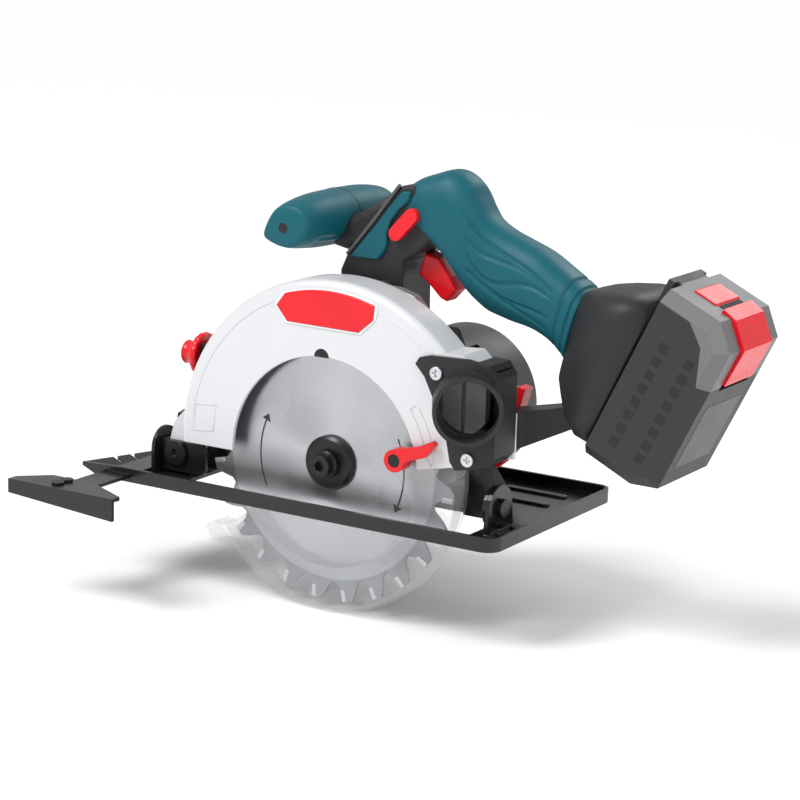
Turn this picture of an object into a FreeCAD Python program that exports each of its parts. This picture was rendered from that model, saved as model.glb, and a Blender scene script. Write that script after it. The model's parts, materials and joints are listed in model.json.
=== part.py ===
import FreeCAD, Part
import Sketcher
import math
import os

from FreeCAD import Placement, Rotation, Vector

# Cordless circular saw with a 165 mm blade.
# The frame: +X runs to the rear (the battery), +Y away from the blade side, +Z up.
# The origin lies on the sole, straight below the arbor, on the strip beside the blade opening.
# The functions below measure Y from the blade's middle plane; set_down shifts each finished sub-part
# along Y by origin_inset.

SIZES = [
    ("origin_inset", 19.0),
    ("arbor_rise", 27.0), ("blade_diameter", 165.0), ("blade_plate", 1.5), ("kerf", 2.2),
    ("bore_diameter", 20.0), ("gullet_depth", 12.0),
    ("flange_radius", 16.0), ("flange_thickness", 4.0), ("arbor_radius", 6.0),
    ("run_clearance", 0.05), ("body_gap", 0.5), ("sheet", 2.2), ("case_wall", 2.5),
    ("shoe_front", 161.0), ("shoe_rear", 122.8), ("shoe_near", 26.7), ("shoe_far", 117.0),
    ("shoe_rim", 8.3), ("toe_start", 149.0), ("toe_lift", 5.0), ("toe_skew", 9.0),
    ("opening_front", 97.0), ("opening_rear", 96.0), ("opening_near", 12.0), ("opening_far", 38.0),
    ("tilt_pin_radius", 3.0), ("tilt_offset", 6.0), ("tilt_rise", 17.0), ("ear_radius", 12.2),
    ("support_face", 125.0), ("rear_face", 106.0), ("knob_offset", 50.0), ("knob_rise", 65.0), ("tilt_bolt_radius", 3.0),
    ("tilt_travel", 45.0), ("depth_travel", 17.0),
    ("pivot_back", 110.6), ("pivot_rise", 15.6), ("pivot_radius", 4.0), ("lug_radius", 9.0),
    ("bracket_inner", 16.0), ("bracket_rise", 3.9), ("bracket_top", 22.5),
    ("arm_plane", 15.0), ("arm_half_width", 7.0), ("clamp_x", 86.0), ("clamp_z", 47.0),
    ("clamp_radius", 3.0), ("lever_plane", 40.0),
    ("guide_bar_width", 18.0), ("guide_bar_x", 134.4), ("guide_bar_rise", 2.6), ("guide_reach", 88.0),
    ("guide_tail", 128.0), ("clamp_near", 88.0), ("clamp_far", 108.0), ("fence_length", 76.0), ("fence_height", 11.0),
    ("guard_opening", 63.2), ("guard_outer", 104.0), ("guard_shift_x", 2.5), ("guard_shift_z", 3.5),
    ("guard_face", 9.7), ("guard_back", 14.5), ("guard_wall", 2.2), ("guard_round", 5.0),
    ("lower_outer", 87.0), ("lower_inner", 60.5), ("lower_half", 7.0), ("lower_wall", 1.6),
    ("nose_radius", 21.4), ("hub_outer", 26.0),
    ("lever_radius", 53.0), ("lever_angle", 13.3),
    ("port_x", 103.0), ("port_z", 76.0), ("port_mouth", 25.0), ("port_bore", 17.0), ("port_wall", 2.4),
    ("port_turn", 31.0), ("port_depth", 14.0),
    ("gear_module", 1.25), ("gear_teeth", 34), ("pinion_teeth", 14),
    ("fast_module", 1.0), ("fast_gear_teeth", 26), ("fast_pinion_teeth", 12), ("backlash", 0.16),
    ("idler_seat", 8.0), ("motor_seat", 9.5),
    ("motor_x", 32.0), ("motor_rise", 26.0), ("drum_radius", 44.5),
    ("drum_back", 98.0), ("cap_length", 7.0), ("shaft_radius", 4.0),
    ("stator_outer", 36.0), ("stator_inner", 21.0), ("stator_front", 54.0), ("stator_length", 32.0),
    ("case_front", 14.5), ("case_back", 44.0), ("gear_case_wall", 2.5), ("rear_wall", 7.0),
    ("handle_mid", 44.0), ("handle_seat", 104.0), ("grip_half", 17.0), ("neck_half", 18.0), ("foot_half", 37.5),
    ("sleeve", 2.0), ("aux_length", 100.0), ("aux_x", 31.0), ("aux_z", 163.0),
    ("trigger_half", 6.5), ("lock_off_travel", 3.0), ("lock_pin_travel", 3.2),
    ("battery_lean", 64.5), ("battery_x", 156.5), ("battery_z", 57.0), ("battery_half", 37.5),
    ("battery_length", 104.0), ("battery_depth", 46.0), ("battery_chamfer", 8.0),
    ("cell_radius", 9.0), ("cell_length", 65.0), ("cell_pitch", 18.4),
]

doc = FreeCAD.newDocument("circular_saw")
sheet = doc.addObject("Spreadsheet::Sheet", "Sizes")
for row, (alias, value) in enumerate(SIZES, start=1):
    sheet.set("A%d" % row, alias)
    sheet.set("B%d" % row, str(value))
    sheet.setAlias("B%d" % row, alias)
doc.recompute()
NAMES = {alias for alias, value in SIZES}
parts = []


# ---------------------------------------------------------------- reading sizes

def size(alias):
    """The value of one driving dimension."""
    return float(sheet.get(alias))


def number(text):
    """The value of a sum of driving dimensions and plain numbers, such as 'shoe_far - sheet'."""
    if not isinstance(text, str):
        return float(text)
    total = 0.0
    sign = 1.0
    for word in text.split():
        if word in "+-":
            sign = 1.0 if word == "+" else -1.0
        else:
            total += sign * (size(word) if word in NAMES else float(word))
    return total


def formula(text):
    """The same sum as an expression of the spreadsheet."""
    if not isinstance(text, str):
        return str(text)
    return " ".join("Sizes." + word if word in NAMES else word for word in text.split())


def keep(obj, node):
    """Name an object as one sub-part."""
    obj.Label = node
    parts.append(obj)
    return obj


def set_down(obj):
    """Shift a finished sub-part along Y, from the blade's middle plane to the origin on the sole."""
    across = [text for path, text in obj.ExpressionEngine if path.endswith("Placement.Base.y")]
    obj.setExpression("Placement.Base.y", " + ".join(across + ["Sizes.origin_inset"]))


def polar(radius, degrees, centre=(0.0, 0.0)):
    angle = math.radians(degrees)
    return (centre[0] + radius * math.cos(angle), centre[1] + radius * math.sin(angle))


# ---------------------------------------------------------------- PartDesign helpers

def plane_of(body, role):
    return [feature for feature in body.Origin.OriginFeatures if feature.Role == role][0]


def sketch_on(body, role, name):
    sketch = body.newObject("Sketcher::SketchObject", name)
    sketch.AttachmentSupport = [(plane_of(body, role), "")]
    sketch.MapMode = "FlatFace"
    return sketch


def pin_vertex(sketch, line, end, across, along):
    """Hold one vertex of a sketch at two sums of driving dimensions."""
    for kind, text, axis in (("DistanceX", across, -2), ("DistanceY", along, -1)):
        value = number(text)
        if abs(value) < 1e-9:
            sketch.addConstraint(Sketcher.Constraint("PointOnObject", line, end, axis))
        else:
            index = sketch.addConstraint(Sketcher.Constraint(kind, -1, 1, line, end, value))
            sketch.setExpression("Constraints[%d]" % index, formula(text))


def draw_polygon(sketch, points):
    """A closed outline of straight lines through points given as sums."""
    spots = [Vector(number(across), number(along), 0) for across, along in points]
    count = len(points)
    lines = [sketch.addGeometry(Part.LineSegment(spots[i], spots[(i + 1) % count]), False)
             for i in range(count)]
    for i in range(count):
        sketch.addConstraint(Sketcher.Constraint("Coincident", lines[i], 2, lines[(i + 1) % count], 1))
        pin_vertex(sketch, lines[i], 1, points[i][0], points[i][1])


def draw_circle(sketch, radius, across="0", along="0"):
    """A circle whose radius and centre are sums of driving dimensions."""
    centre = Vector(number(across), number(along), 0)
    circle = sketch.addGeometry(Part.Circle(centre, Vector(0, 0, 1), number(radius)), False)
    index = sketch.addConstraint(Sketcher.Constraint("Radius", circle, number(radius)))
    sketch.setExpression("Constraints[%d]" % index, formula(radius))
    pin_vertex(sketch, circle, 3, across, along)


def pad(body, sketch, length, reverse=False):
    feature = body.newObject("PartDesign::Pad", sketch.Name + "_pad")
    feature.Profile = sketch
    feature.Length = number(length)
    feature.setExpression("Length", formula(length))
    feature.Reversed = reverse
    sketch.Visibility = False
    doc.recompute()
    return feature


def pocket(body, sketch, length, reverse=False):
    """Cut a sketch out of a body, and make sure that it removed material."""
    before = body.Shape.Volume
    feature = body.newObject("PartDesign::Pocket", sketch.Name + "_pocket")
    feature.Profile = sketch
    feature.Length = number(length)
    feature.setExpression("Length", formula(length))
    feature.Reversed = reverse
    doc.recompute()
    if not body.Shape.Volume < before - 0.01:
        raise ValueError(sketch.Name + " removes nothing")
    return feature


def place(obj, turn, x="0", y="0", z="0"):
    """Put an object down at a point given as sums, turned by a fixed rotation."""
    obj.Placement = Placement(Vector(number(x), number(y), number(z)), turn)
    for axis, text in (("x", x), ("y", y), ("z", z)):
        obj.setExpression("Placement.Base." + axis, formula(text))


STRAIGHT = Rotation()
ALONG_Y = Rotation(Vector(1, 0, 0), -90)     # local Z to +Y, local Y to -Z
ALONG_X = Rotation(Vector(0, 1, 0), 90)      # local Z to +X


def turned(node, stations, x="0", z="arbor_rise", along="y", y="0"):
    """A turned piece: (radius, station) corners revolved about an axis along Y or X."""
    body = doc.addObject("PartDesign::Body", node)
    sketch = sketch_on(body, "XZ_Plane", node + "_profile")
    draw_polygon(sketch, stations)
    turn = body.newObject("PartDesign::Revolution", node + "_turning")
    turn.Profile = sketch
    turn.ReferenceAxis = (sketch, ["V_Axis"])
    turn.Angle = 360.0
    sketch.Visibility = False
    place(body, ALONG_Y if along == "y" else ALONG_X, x, y, z)
    doc.recompute()
    return keep(body, node)


# ---------------------------------------------------------------- Part helpers

def face_xz(points, y):
    wire = Part.makePolygon([Vector(px, y, pz) for px, pz in points + points[:1]])
    return Part.Face(wire)


def slab_xz(points, low, high):
    """A flat piece with an outline in the XZ plane, from y = low to y = high."""
    return face_xz(points, low).extrude(Vector(0, high - low, 0))


def slab_yz(points, low, high):
    """A flat piece with an outline in the YZ plane, from x = low to x = high."""
    wire = Part.makePolygon([Vector(low, py, pz) for py, pz in points + points[:1]])
    return Part.Face(wire).extrude(Vector(high - low, 0, 0))


def slab_xy(points, low, high):
    """A flat piece with an outline in plan, from z = low to z = high."""
    wire = Part.makePolygon([Vector(px, py, low) for px, py in points + points[:1]])
    return Part.Face(wire).extrude(Vector(0, 0, high - low))


def rod(radius, start, end):
    """A round bar from one point to another."""
    start = Vector(*start)
    way = Vector(*end) - start
    return Part.makeCylinder(radius, way.Length, start, way)


def rod_y(radius, x, z, low, high):
    return rod(radius, (x, low, z), (x, high, z))


def block(low, high):
    span = [b - a for a, b in zip(low, high)]
    return Part.makeBox(span[0], span[1], span[2], Vector(*low))


def soften(shape, radius, chosen):
    """Fillet the edges that chosen(edge) picks."""
    edges = [edge for edge in shape.Edges if chosen(edge)]
    return shape.makeFillet(radius, edges)


def along(axis):
    """An edge test: straight edges that run along one axis."""
    def test(edge):
        if edge.Curve.TypeId != "Part::GeomLine":
            return False
        way = edge.tangentAt(edge.FirstParameter)
        return abs(abs(getattr(way, axis)) - 1) < 1e-6
    return test


def at_level(axis, level):
    """An edge test: edges that lie wholly in one plane across an axis."""
    def test(edge):
        box = edge.BoundBox
        low = getattr(box, axis.upper() + "Min")
        high = getattr(box, axis.upper() + "Max")
        return abs(low - level) < 1e-4 and abs(high - level) < 1e-4
    return test


def solids(shapes):
    """Several separate solids, or one, as one shape."""
    return Part.makeCompound(shapes)


def made(node, shape):
    """A sub-part whose shape is worked out here from the sheet."""
    feature = doc.addObject("Part::Feature", node)
    shape = shape.removeSplitter() if shape.ShapeType != "Compound" else shape
    if shape.ShapeType == "Compound" and len(shape.Solids) == 1:
        shape = shape.Solids[0]
    feature.Shape = shape
    feature.Placement = Placement()
    return keep(feature, node)


def gear_outline(teeth, module, phase, thin):
    """Points of an involute spur gear, with one tooth centred on the angle phase in degrees."""
    pressure = math.radians(20)
    pitch = teeth * module / 2
    base = pitch * math.cos(pressure)
    tip = pitch + module
    root = pitch - 1.25 * module
    involute = math.tan(pressure) - pressure
    half = math.pi / (2 * teeth) - thin / (2 * pitch)
    points = []
    for tooth in range(teeth):
        centre = math.radians(phase) + 2 * math.pi * tooth / teeth
        flank = []
        for step in range(5):
            radius = max(base, root) + (tip - max(base, root)) * step / 4
            angle = math.acos(min(1.0, base / radius))
            flank.append((radius, half + involute - (math.tan(angle) - angle)))
        root_half = flank[0][1] + 0.02
        points.append(polar(root, math.degrees(centre - root_half)))
        points += [polar(radius, math.degrees(centre - spread)) for radius, spread in flank]
        points += [polar(radius, math.degrees(centre + spread)) for radius, spread in reversed(flank)]
        points.append(polar(root, math.degrees(centre + root_half)))
    return points


def gear(teeth, module, phase, centre, low, high, bore):
    points = gear_outline(int(teeth), module, phase, size("backlash"))
    points = [(centre[0] + px, centre[1] + pz) for px, pz in points]
    return slab_xz(points, low, high).cut(rod_y(bore, centre[0], centre[1], low, high))


# ---------------------------------------------------------------- shared places

arbor = (0.0, size("arbor_rise"))
motor = (size("motor_x"), size("arbor_rise") + size("motor_rise"))
pivot = (-size("pivot_back"), size("pivot_rise"))
tilt = (size("tilt_offset"), size("tilt_rise"))
gap = size("body_gap")
run = size("run_clearance")
wall = size("sheet")


def idler_centre():
    """The idler shaft, above the line from the arbor to the motor, at both gear distances."""
    to_arbor = size("gear_module") * (size("gear_teeth") + size("pinion_teeth")) / 2
    to_motor = size("fast_module") * (size("fast_gear_teeth") + size("fast_pinion_teeth")) / 2
    span = math.hypot(motor[0] - arbor[0], motor[1] - arbor[1])
    slope = math.degrees(math.atan2(motor[1] - arbor[1], motor[0] - arbor[0]))
    cosine = (to_arbor ** 2 + span ** 2 - to_motor ** 2) / (2 * to_arbor * span)
    return polar(to_arbor, slope + math.degrees(math.acos(cosine)), arbor)


idler = idler_centre()


# ---------------------------------------------------------------- shoe

def shoe_plate():
    """Pressed steel sole with a turned-up rim, a lifted toe, the blade opening and ribs."""
    front, rear = -size("shoe_front"), size("shoe_rear")
    near, far = -size("shoe_near"), size("shoe_far")
    rim, toe, lift = size("shoe_rim"), -size("toe_start"), size("toe_lift")
    tray = block((toe + 17, near, 0), (rear, far, rim))
    tray = soften(tray, 9.0, lambda e: along("z")(e) and e.BoundBox.XMin > 0)
    hollow = block((toe + 17, near + wall, wall), (rear - wall, far - wall, rim + 1))
    hollow = soften(hollow, 9.0 - wall, lambda e: along("z")(e) and e.BoundBox.XMin > 0)
    tray = tray.cut(hollow)
    side = [(toe + 17, 0), (toe + 17, wall), (toe, wall), (front, lift + wall), (front, lift), (toe, 0)]
    ramp = slab_xz(side, near, far)
    skewed = [(front, near), (front + size("toe_skew"), 35), (front + size("toe_skew") + 2, far),
              (toe + 20, far), (toe + 20, near)]
    ramp = ramp.common(slab_xy(skewed, -1, rim + 4))
    cheek_top = rim - 1.2
    cheek = [(toe + 17, 0), (toe + 17, rim), (front + 1.5, cheek_top), (front, lift + wall), (front, lift),
             (toe, 0)]
    for edge in (near, far - wall):
        ramp = ramp.fuse(slab_xz(cheek, edge, edge + wall).common(slab_xy(skewed, -1, rim + 4)))
    shape = tray.fuse(ramp)
    opening = block((-size("opening_front"), -size("opening_near"), -1),
                    (size("opening_rear"), size("opening_far"), wall + 1))
    shape = shape.cut(soften(opening, 5.0, along("z")))
    for line in (0.0, 14.0):
        edge = front + size("toe_skew") * (line - near) / (35 - near)
        notch = block((edge - 3, line - 1.8, -1), (edge + 5, line + 1.8, rim + 4))
        shape = shape.cut(notch.fuse(rod((1.8), (edge + 5, line, -1), (edge + 5, line, rim + 4))))
    for line in (74.0, 96.0):
        rib = block((62, line - 3, wall - 0.2), (103, line + 3, wall + 1.4))
        shape = shape.fuse(soften(soften(rib, 2.8, along("z")), 1.0, at_level("z", wall + 1.4)))
    bar_low, bar_high = guide_bar_span()
    slot = block((bar_low - 0.4, near - 1, size("guide_bar_rise") - 0.3),
                 (bar_high + 0.4, far + 1, size("guide_bar_rise") + wall + 0.4))
    shape = shape.cut(slot)
    made("shoe_plate", shape)


def guide_bar_span():
    half = size("guide_bar_width") / 2
    return (-size("guide_bar_x") - half, -size("guide_bar_x") + half)


def support_plate(outline, low, high, holes):
    plate = slab_yz(outline, low, high)
    for spot, radius in holes:
        plate = plate.cut(rod(radius, (low - 1, spot[0], spot[1]), (high + 1, spot[0], spot[1])))
    return plate


def shoe_supports():
    """The upright plates that carry the tilt pins; the front one also carries the tilt bolt."""
    face = -size("support_face")
    radius = size("ear_radius")
    bolt = (size("knob_offset"), size("knob_rise"))
    ring = [polar(radius, angle, tilt) for angle in range(180, 29, -15)]
    outline = [(tilt[0] - radius, wall)] + ring + [
        (18, tilt[1] + 10), (20, 34), (30, 36), (bolt[0] - 9, bolt[1] - 3), (bolt[0] - 7, bolt[1] + 8),
        (bolt[0] + 7, bolt[1] + 8), (bolt[0] + 10, bolt[1] - 4), (bolt[0] + 12, 20), (bolt[0] + 12, wall)]
    pin_hole = (tilt, size("tilt_pin_radius"))
    front = support_plate(outline, face, face + wall, [pin_hole, (bolt, size("tilt_bolt_radius"))])
    foot = block((face, 24, wall), (face + 16, 60, 2 * wall))
    made("front_support", front.fuse(foot))

    back = size("rear_face")
    ring = [polar(radius + 0.8, angle, tilt) for angle in range(180, -1, -15)]
    outline = [(tilt[0] - radius - 3, wall)] + ring + [(tilt[0] + radius + 3, wall)]
    ear = support_plate(outline, back, back + 2.5, [pin_hole])
    base = block((back, tilt[0] - radius - 3, wall), (back + 13, tilt[0] + radius + 3, 2 * wall))
    made("rear_support", ear.fuse(base))


def shoe_pins():
    face = -size("support_face")
    radius = size("tilt_pin_radius")
    front = rod(radius, (face - 1.2, tilt[0], tilt[1]), (face + 2 * wall + gap, tilt[0], tilt[1]))
    head = rod(radius + 2, (face - 1.8, tilt[0], tilt[1]), (face, tilt[0], tilt[1]))
    rear_end = 108.5
    rear = rod(radius, (102.6, tilt[0], tilt[1]), (rear_end + 1, tilt[0], tilt[1]))
    rear_head = rod(radius + 2.2, (rear_end, tilt[0], tilt[1]), (rear_end + 3, tilt[0], tilt[1]))
    rear_clip = rod(radius + 2, (101.4, tilt[0], tilt[1]), (102.6, tilt[0], tilt[1]))
    made("bevel_pivot_pins", solids([front.fuse(head), rear.fuse([rear_head, rear_clip])]))

    rivets = []
    for x, y in ((bar_rivet_x(), 31), (bar_rivet_x(), 53), (114, -2), (114, 14)):
        shank = rod(1.8, (x, y, 0), (x, y, 2 * wall))
        rivets.append(shank.fuse(rod(3.4, (x, y, 2 * wall), (x, y, 2 * wall + 1.3))))
    made("base_rivets", solids(rivets))
    plate = doc.getObjectsByLabel("shoe_plate")[0]
    holes = [rod(1.8, (x, y, -1), (x, y, 3 * wall)) for x, y in
             ((bar_rivet_x(), 31), (bar_rivet_x(), 53), (114, -2), (114, 14))]
    plate.Shape = plate.Shape.cut(holes)
    for node in ("front_support", "rear_support"):
        piece = doc.getObjectsByLabel(node)[0]
        piece.Shape = piece.Shape.cut(holes)


def bar_rivet_x():
    """The rivets of the front support's foot, behind the tilt plate."""
    return -size("support_face") + 10.6


def bevel_bolt():
    """Bolt through the front support and the slot of the bracket; its head is behind the slot."""
    face = -size("support_face")
    y, z = size("knob_offset"), size("knob_rise")
    radius = size("tilt_bolt_radius")
    back = face + 2 * wall + gap
    shank = rod(radius, (face - 17, y, z), (back + gap, y, z))
    head = rod(radius + 4, (back + gap, y, z), (back + gap + 2.5, y, z))
    made("bevel_bolt", shank.fuse(head))


def bevel_knob():
    """Red wing nut on the tilt bolt."""
    face = -size("support_face") - gap
    y, z = size("knob_offset"), size("knob_rise")
    radius = size("tilt_bolt_radius") + run
    hub = Part.makeCone(12.5, 9.5, 12, Vector(face, y, z), Vector(-1, 0, 0))
    wing = block((face - 15, y - 4, z - 17), (face - 3, y + 4, z + 17))
    wing = soften(wing, 3.5, along("y"))
    made("bevel_knob", hub.fuse(wing).cut(rod(radius, (face + 1, y, z), (face - 30, y, z))))


# ---------------------------------------------------------------- parallel guide

def parallel_guide():
    low, high = guide_bar_span()
    rise, reach = size("guide_bar_rise"), size("guide_reach")
    bar = block((low, -reach + wall, rise), (high, size("guide_tail"), rise + wall))
    tail = soften(bar, 6.0, lambda e: along("z")(e) and e.BoundBox.YMin > 0)
    middle = -size("guide_bar_x")
    fence_low = middle - size("fence_length") * 0.4
    fence_high = middle + size("fence_length") * 0.6
    top = rise + wall + 2 * wall
    rivet_spots = [(middle, -reach + 6), (middle, -reach + 14)]
    wall_points = [(fence_low, top), (fence_high, top), (fence_high, top - size("fence_height") - wall),
                   (fence_low, top - size("fence_height") * 0.75)]
    plate = slab_xz(wall_points, -reach - wall, -reach)
    shelf_points = [(fence_low, -reach - wall), (fence_high, -reach - wall), (fence_high, -reach + 5),
                    (high + 6, -reach + 20), (low - 6, -reach + 20), (fence_low, -reach + 5)]
    shelf = slab_xy(shelf_points, top - wall, top)
    tongue = block((low, -reach, rise + wall), (high, -reach + 18, top - wall))
    fence = plate.fuse([shelf, tongue])
    rivets = []
    for x, y in rivet_spots:
        hole = rod(2, (x, y, rise - 1), (x, y, top + 2))
        tail = tail.cut(hole)
        fence = fence.cut(hole)
        shank = rod(2, (x, y, rise), (x, y, top))
        rivets.append(shank.fuse(rod(3.6, (x, y, top), (x, y, top + 1.4))))
    made("guide_bar", tail)
    made("guide_fence", fence)
    made("guide_rivets", solids(rivets))


def guide_clamp():
    """Bridge over the guide bar on the shoe, with its wing screw."""
    low, high = guide_bar_span()
    rise = size("guide_bar_rise")
    roof = rise + wall + gap
    y_low, y_high = size("clamp_near"), size("clamp_far")
    leg = 4.4
    roof_piece = block((low - 1 - leg, y_low, roof), (high + 1 + leg, y_high, roof + 3))
    legs = [block((low - 1 - leg, y_low, wall), (low - 1, y_high, roof)),
            block((high + 1, y_low, wall), (high + 1 + leg, y_high, roof))]
    x, y = -size("guide_bar_x"), (y_low + y_high) / 2
    bridge = roof_piece.fuse(legs).cut(rod(3 + run, (x, y, 0), (x, y, roof + 5)))
    made("guide_clamp", bridge)
    shank = rod(3, (x, y, rise + wall + 0.3), (x, y, roof + 6))
    head = rod(6, (x, y, roof + 3.5), (x, y, roof + 9))
    wing = soften(block((x - 12, y - 2, roof + 5), (x + 12, y + 2, roof + 16)), 3.5, along("y"))
    made("guide_screw", shank.fuse([head, wing]))


# ---------------------------------------------------------------- bevel frame

def slot_band(centre, radius, half, start, stop, low, high, plane):
    """A curved slot or arm: a band of one radius with round ends, as a solid."""
    steps = max(4, int(abs(stop - start) / 4))
    angles = [start + (stop - start) * i / steps for i in range(steps + 1)]
    outer = [polar(radius + half, angle, centre) for angle in angles]
    inner = [polar(radius - half, angle, centre) for angle in reversed(angles)]
    maker = slab_xz if plane == "xz" else slab_yz
    shape = maker(outer + inner, low, high)
    for angle in (start, stop):
        a, b = polar(radius, angle, centre)
        end = rod(half, (a, low, b), (a, high, b)) if plane == "xz" else rod(half, (low, a, b), (high, a, b))
        shape = shape.fuse(end)
    return shape


def front_bracket():
    """U channel around the guard's pivot lug, with the slotted tilt plate on its front wall."""
    face = -size("support_face") + wall + gap
    back = face + wall
    base, top = size("bracket_rise"), size("bracket_top")
    near, inner = 0.0, size("bracket_inner")
    front = block((face, near, base), (back, near + 2 * wall + inner, top))
    near_wall = soften(block((face, near, base), (-89.5, near + wall, top)), 4.0,
                       lambda e: along("y")(e) and e.BoundBox.XMin > -100)
    far_wall = soften(block((face, near + wall + inner, base), (-87, near + 2 * wall + inner, top)), 4.0,
                      lambda e: along("y")(e) and e.BoundBox.XMin > -100)
    bolt = (size("knob_offset") - tilt[0], size("knob_rise") - tilt[1])
    radius = math.hypot(*bolt)
    angle = math.degrees(math.atan2(bolt[1], bolt[0]))
    travel = size("tilt_travel")
    band = slot_band(tilt, radius, 8.5, angle - travel, angle, face, back, "yz")
    low_end = polar(radius, angle - travel, tilt)
    web = slab_yz([(near + wall + inner, base + 1), (low_end[0] + 4, base + 3), (low_end[0], low_end[1] + 6),
                   polar(radius - 2, angle - 6, tilt), polar(radius - 12, angle - 2, tilt),
                   (near + wall + inner, top)], face, back)
    shape = front.fuse([near_wall, far_wall, band, web])
    shape = shape.cut(slot_band(tilt, radius, size("tilt_bolt_radius") + 0.3, angle - travel, angle,
                                face - 1, back + 1, "yz"))
    shape = shape.cut(rod(size("tilt_pin_radius") + run, (face - 1, *tilt), (back + 1, *tilt)))
    shape = shape.cut(rod_y(size("pivot_radius"), pivot[0], pivot[1], near - 1, near + 2 * wall + inner + 1))
    made("front_bracket", shape)


def depth_pivot():
    width = 2 * wall + size("bracket_inner")
    shank = rod_y(size("pivot_radius"), pivot[0], pivot[1], 0, width + 4)
    head = rod_y(size("pivot_radius") + 3.5, pivot[0], pivot[1], -2.4, 0)
    socket = rod_y(2.2, pivot[0], pivot[1], -3, -1)
    bolt = shank.fuse(head).cut(socket)
    nut = Part.Face(Part.makePolygon([Vector(pivot[0] + 6.5 * math.cos(math.radians(60 * i)), width,
                                             pivot[1] + 6.5 * math.sin(math.radians(60 * i)))
                                      for i in range(7)])).extrude(Vector(0, 4, 0))
    nut = nut.cut(rod_y(size("pivot_radius"), pivot[0], pivot[1], 0, width + 6))
    made("depth_pivot_bolt", solids([bolt, nut]))


def clamp_polar():
    dx, dz = size("clamp_x") - pivot[0], size("clamp_z") - pivot[1]
    return math.hypot(dx, dz), math.degrees(math.atan2(dz, dx))


def rear_bracket():
    """Depth guide arm with its arc slot, bent at the bottom into an ear on the rear tilt pin."""
    radius, angle = clamp_polar()
    low = size("arm_plane")
    high = low + wall
    half = size("arm_half_width")
    arm = slot_band(pivot, radius, half, angle - 2, angle + size("depth_travel") + 1, low, high, "xz")
    foot = [(radius - half + pivot[0] - 2, 6), (105.5, 6), (105.5, 27), (96, 40), polar(radius + half, angle - 2, pivot),
            polar(radius - half, angle - 2, pivot)]
    plate = slab_xz(foot, low, high)
    ring = [polar(size("ear_radius") - 0.2, a, tilt) for a in range(0, 360, 15)]
    ear = slab_yz(ring, 103.2, 105.5)
    bend = slab_yz([(tilt[0], 6), (high, 6), (high, 27), (tilt[0], 27)], 103.2, 105.5)
    shape = arm.fuse([plate, ear, bend])
    shape = shape.cut(slot_band(pivot, radius, size("clamp_radius") + 0.3, angle,
                                angle + size("depth_travel"), low - 1, high + 1, "xz"))
    shape = shape.cut(rod(size("tilt_pin_radius") + run, (100, *tilt), (110, *tilt)))
    made("rear_bracket", shape)


# ---------------------------------------------------------------- upper guard

def guard_outline(inset):
    """Outline of the upper guard in the XZ plane, moved inwards by inset."""
    centre = (size("guard_shift_x"), arbor[1] + size("guard_shift_z"))
    radius = size("guard_outer") - inset
    bottom = arbor[1] - 1 + inset
    start = 180 + math.degrees(math.asin((centre[1] - bottom) / radius))
    arc = [polar(radius, start - (start - 44) * i / 36, centre) for i in range(37)]
    right = 98 - inset
    return [(-60, bottom)] + arc + [(90 - inset, 103.5 - inset), (right, 96 - inset), (right, 47 + inset),
                                     (88 - inset, 40 + inset), (60, 34 + inset * 0.5), (60, bottom + 8)]


def port_axis():
    turn = math.radians(size("port_turn"))
    return Vector(math.sin(turn), -math.cos(turn), 0)


def port_point(back):
    """A point on the nozzle's axis, the given distance inside its mouth."""
    mouth = Vector(size("port_x"), -size("port_mouth"), size("port_z"))
    return mouth - port_axis() * back


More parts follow.
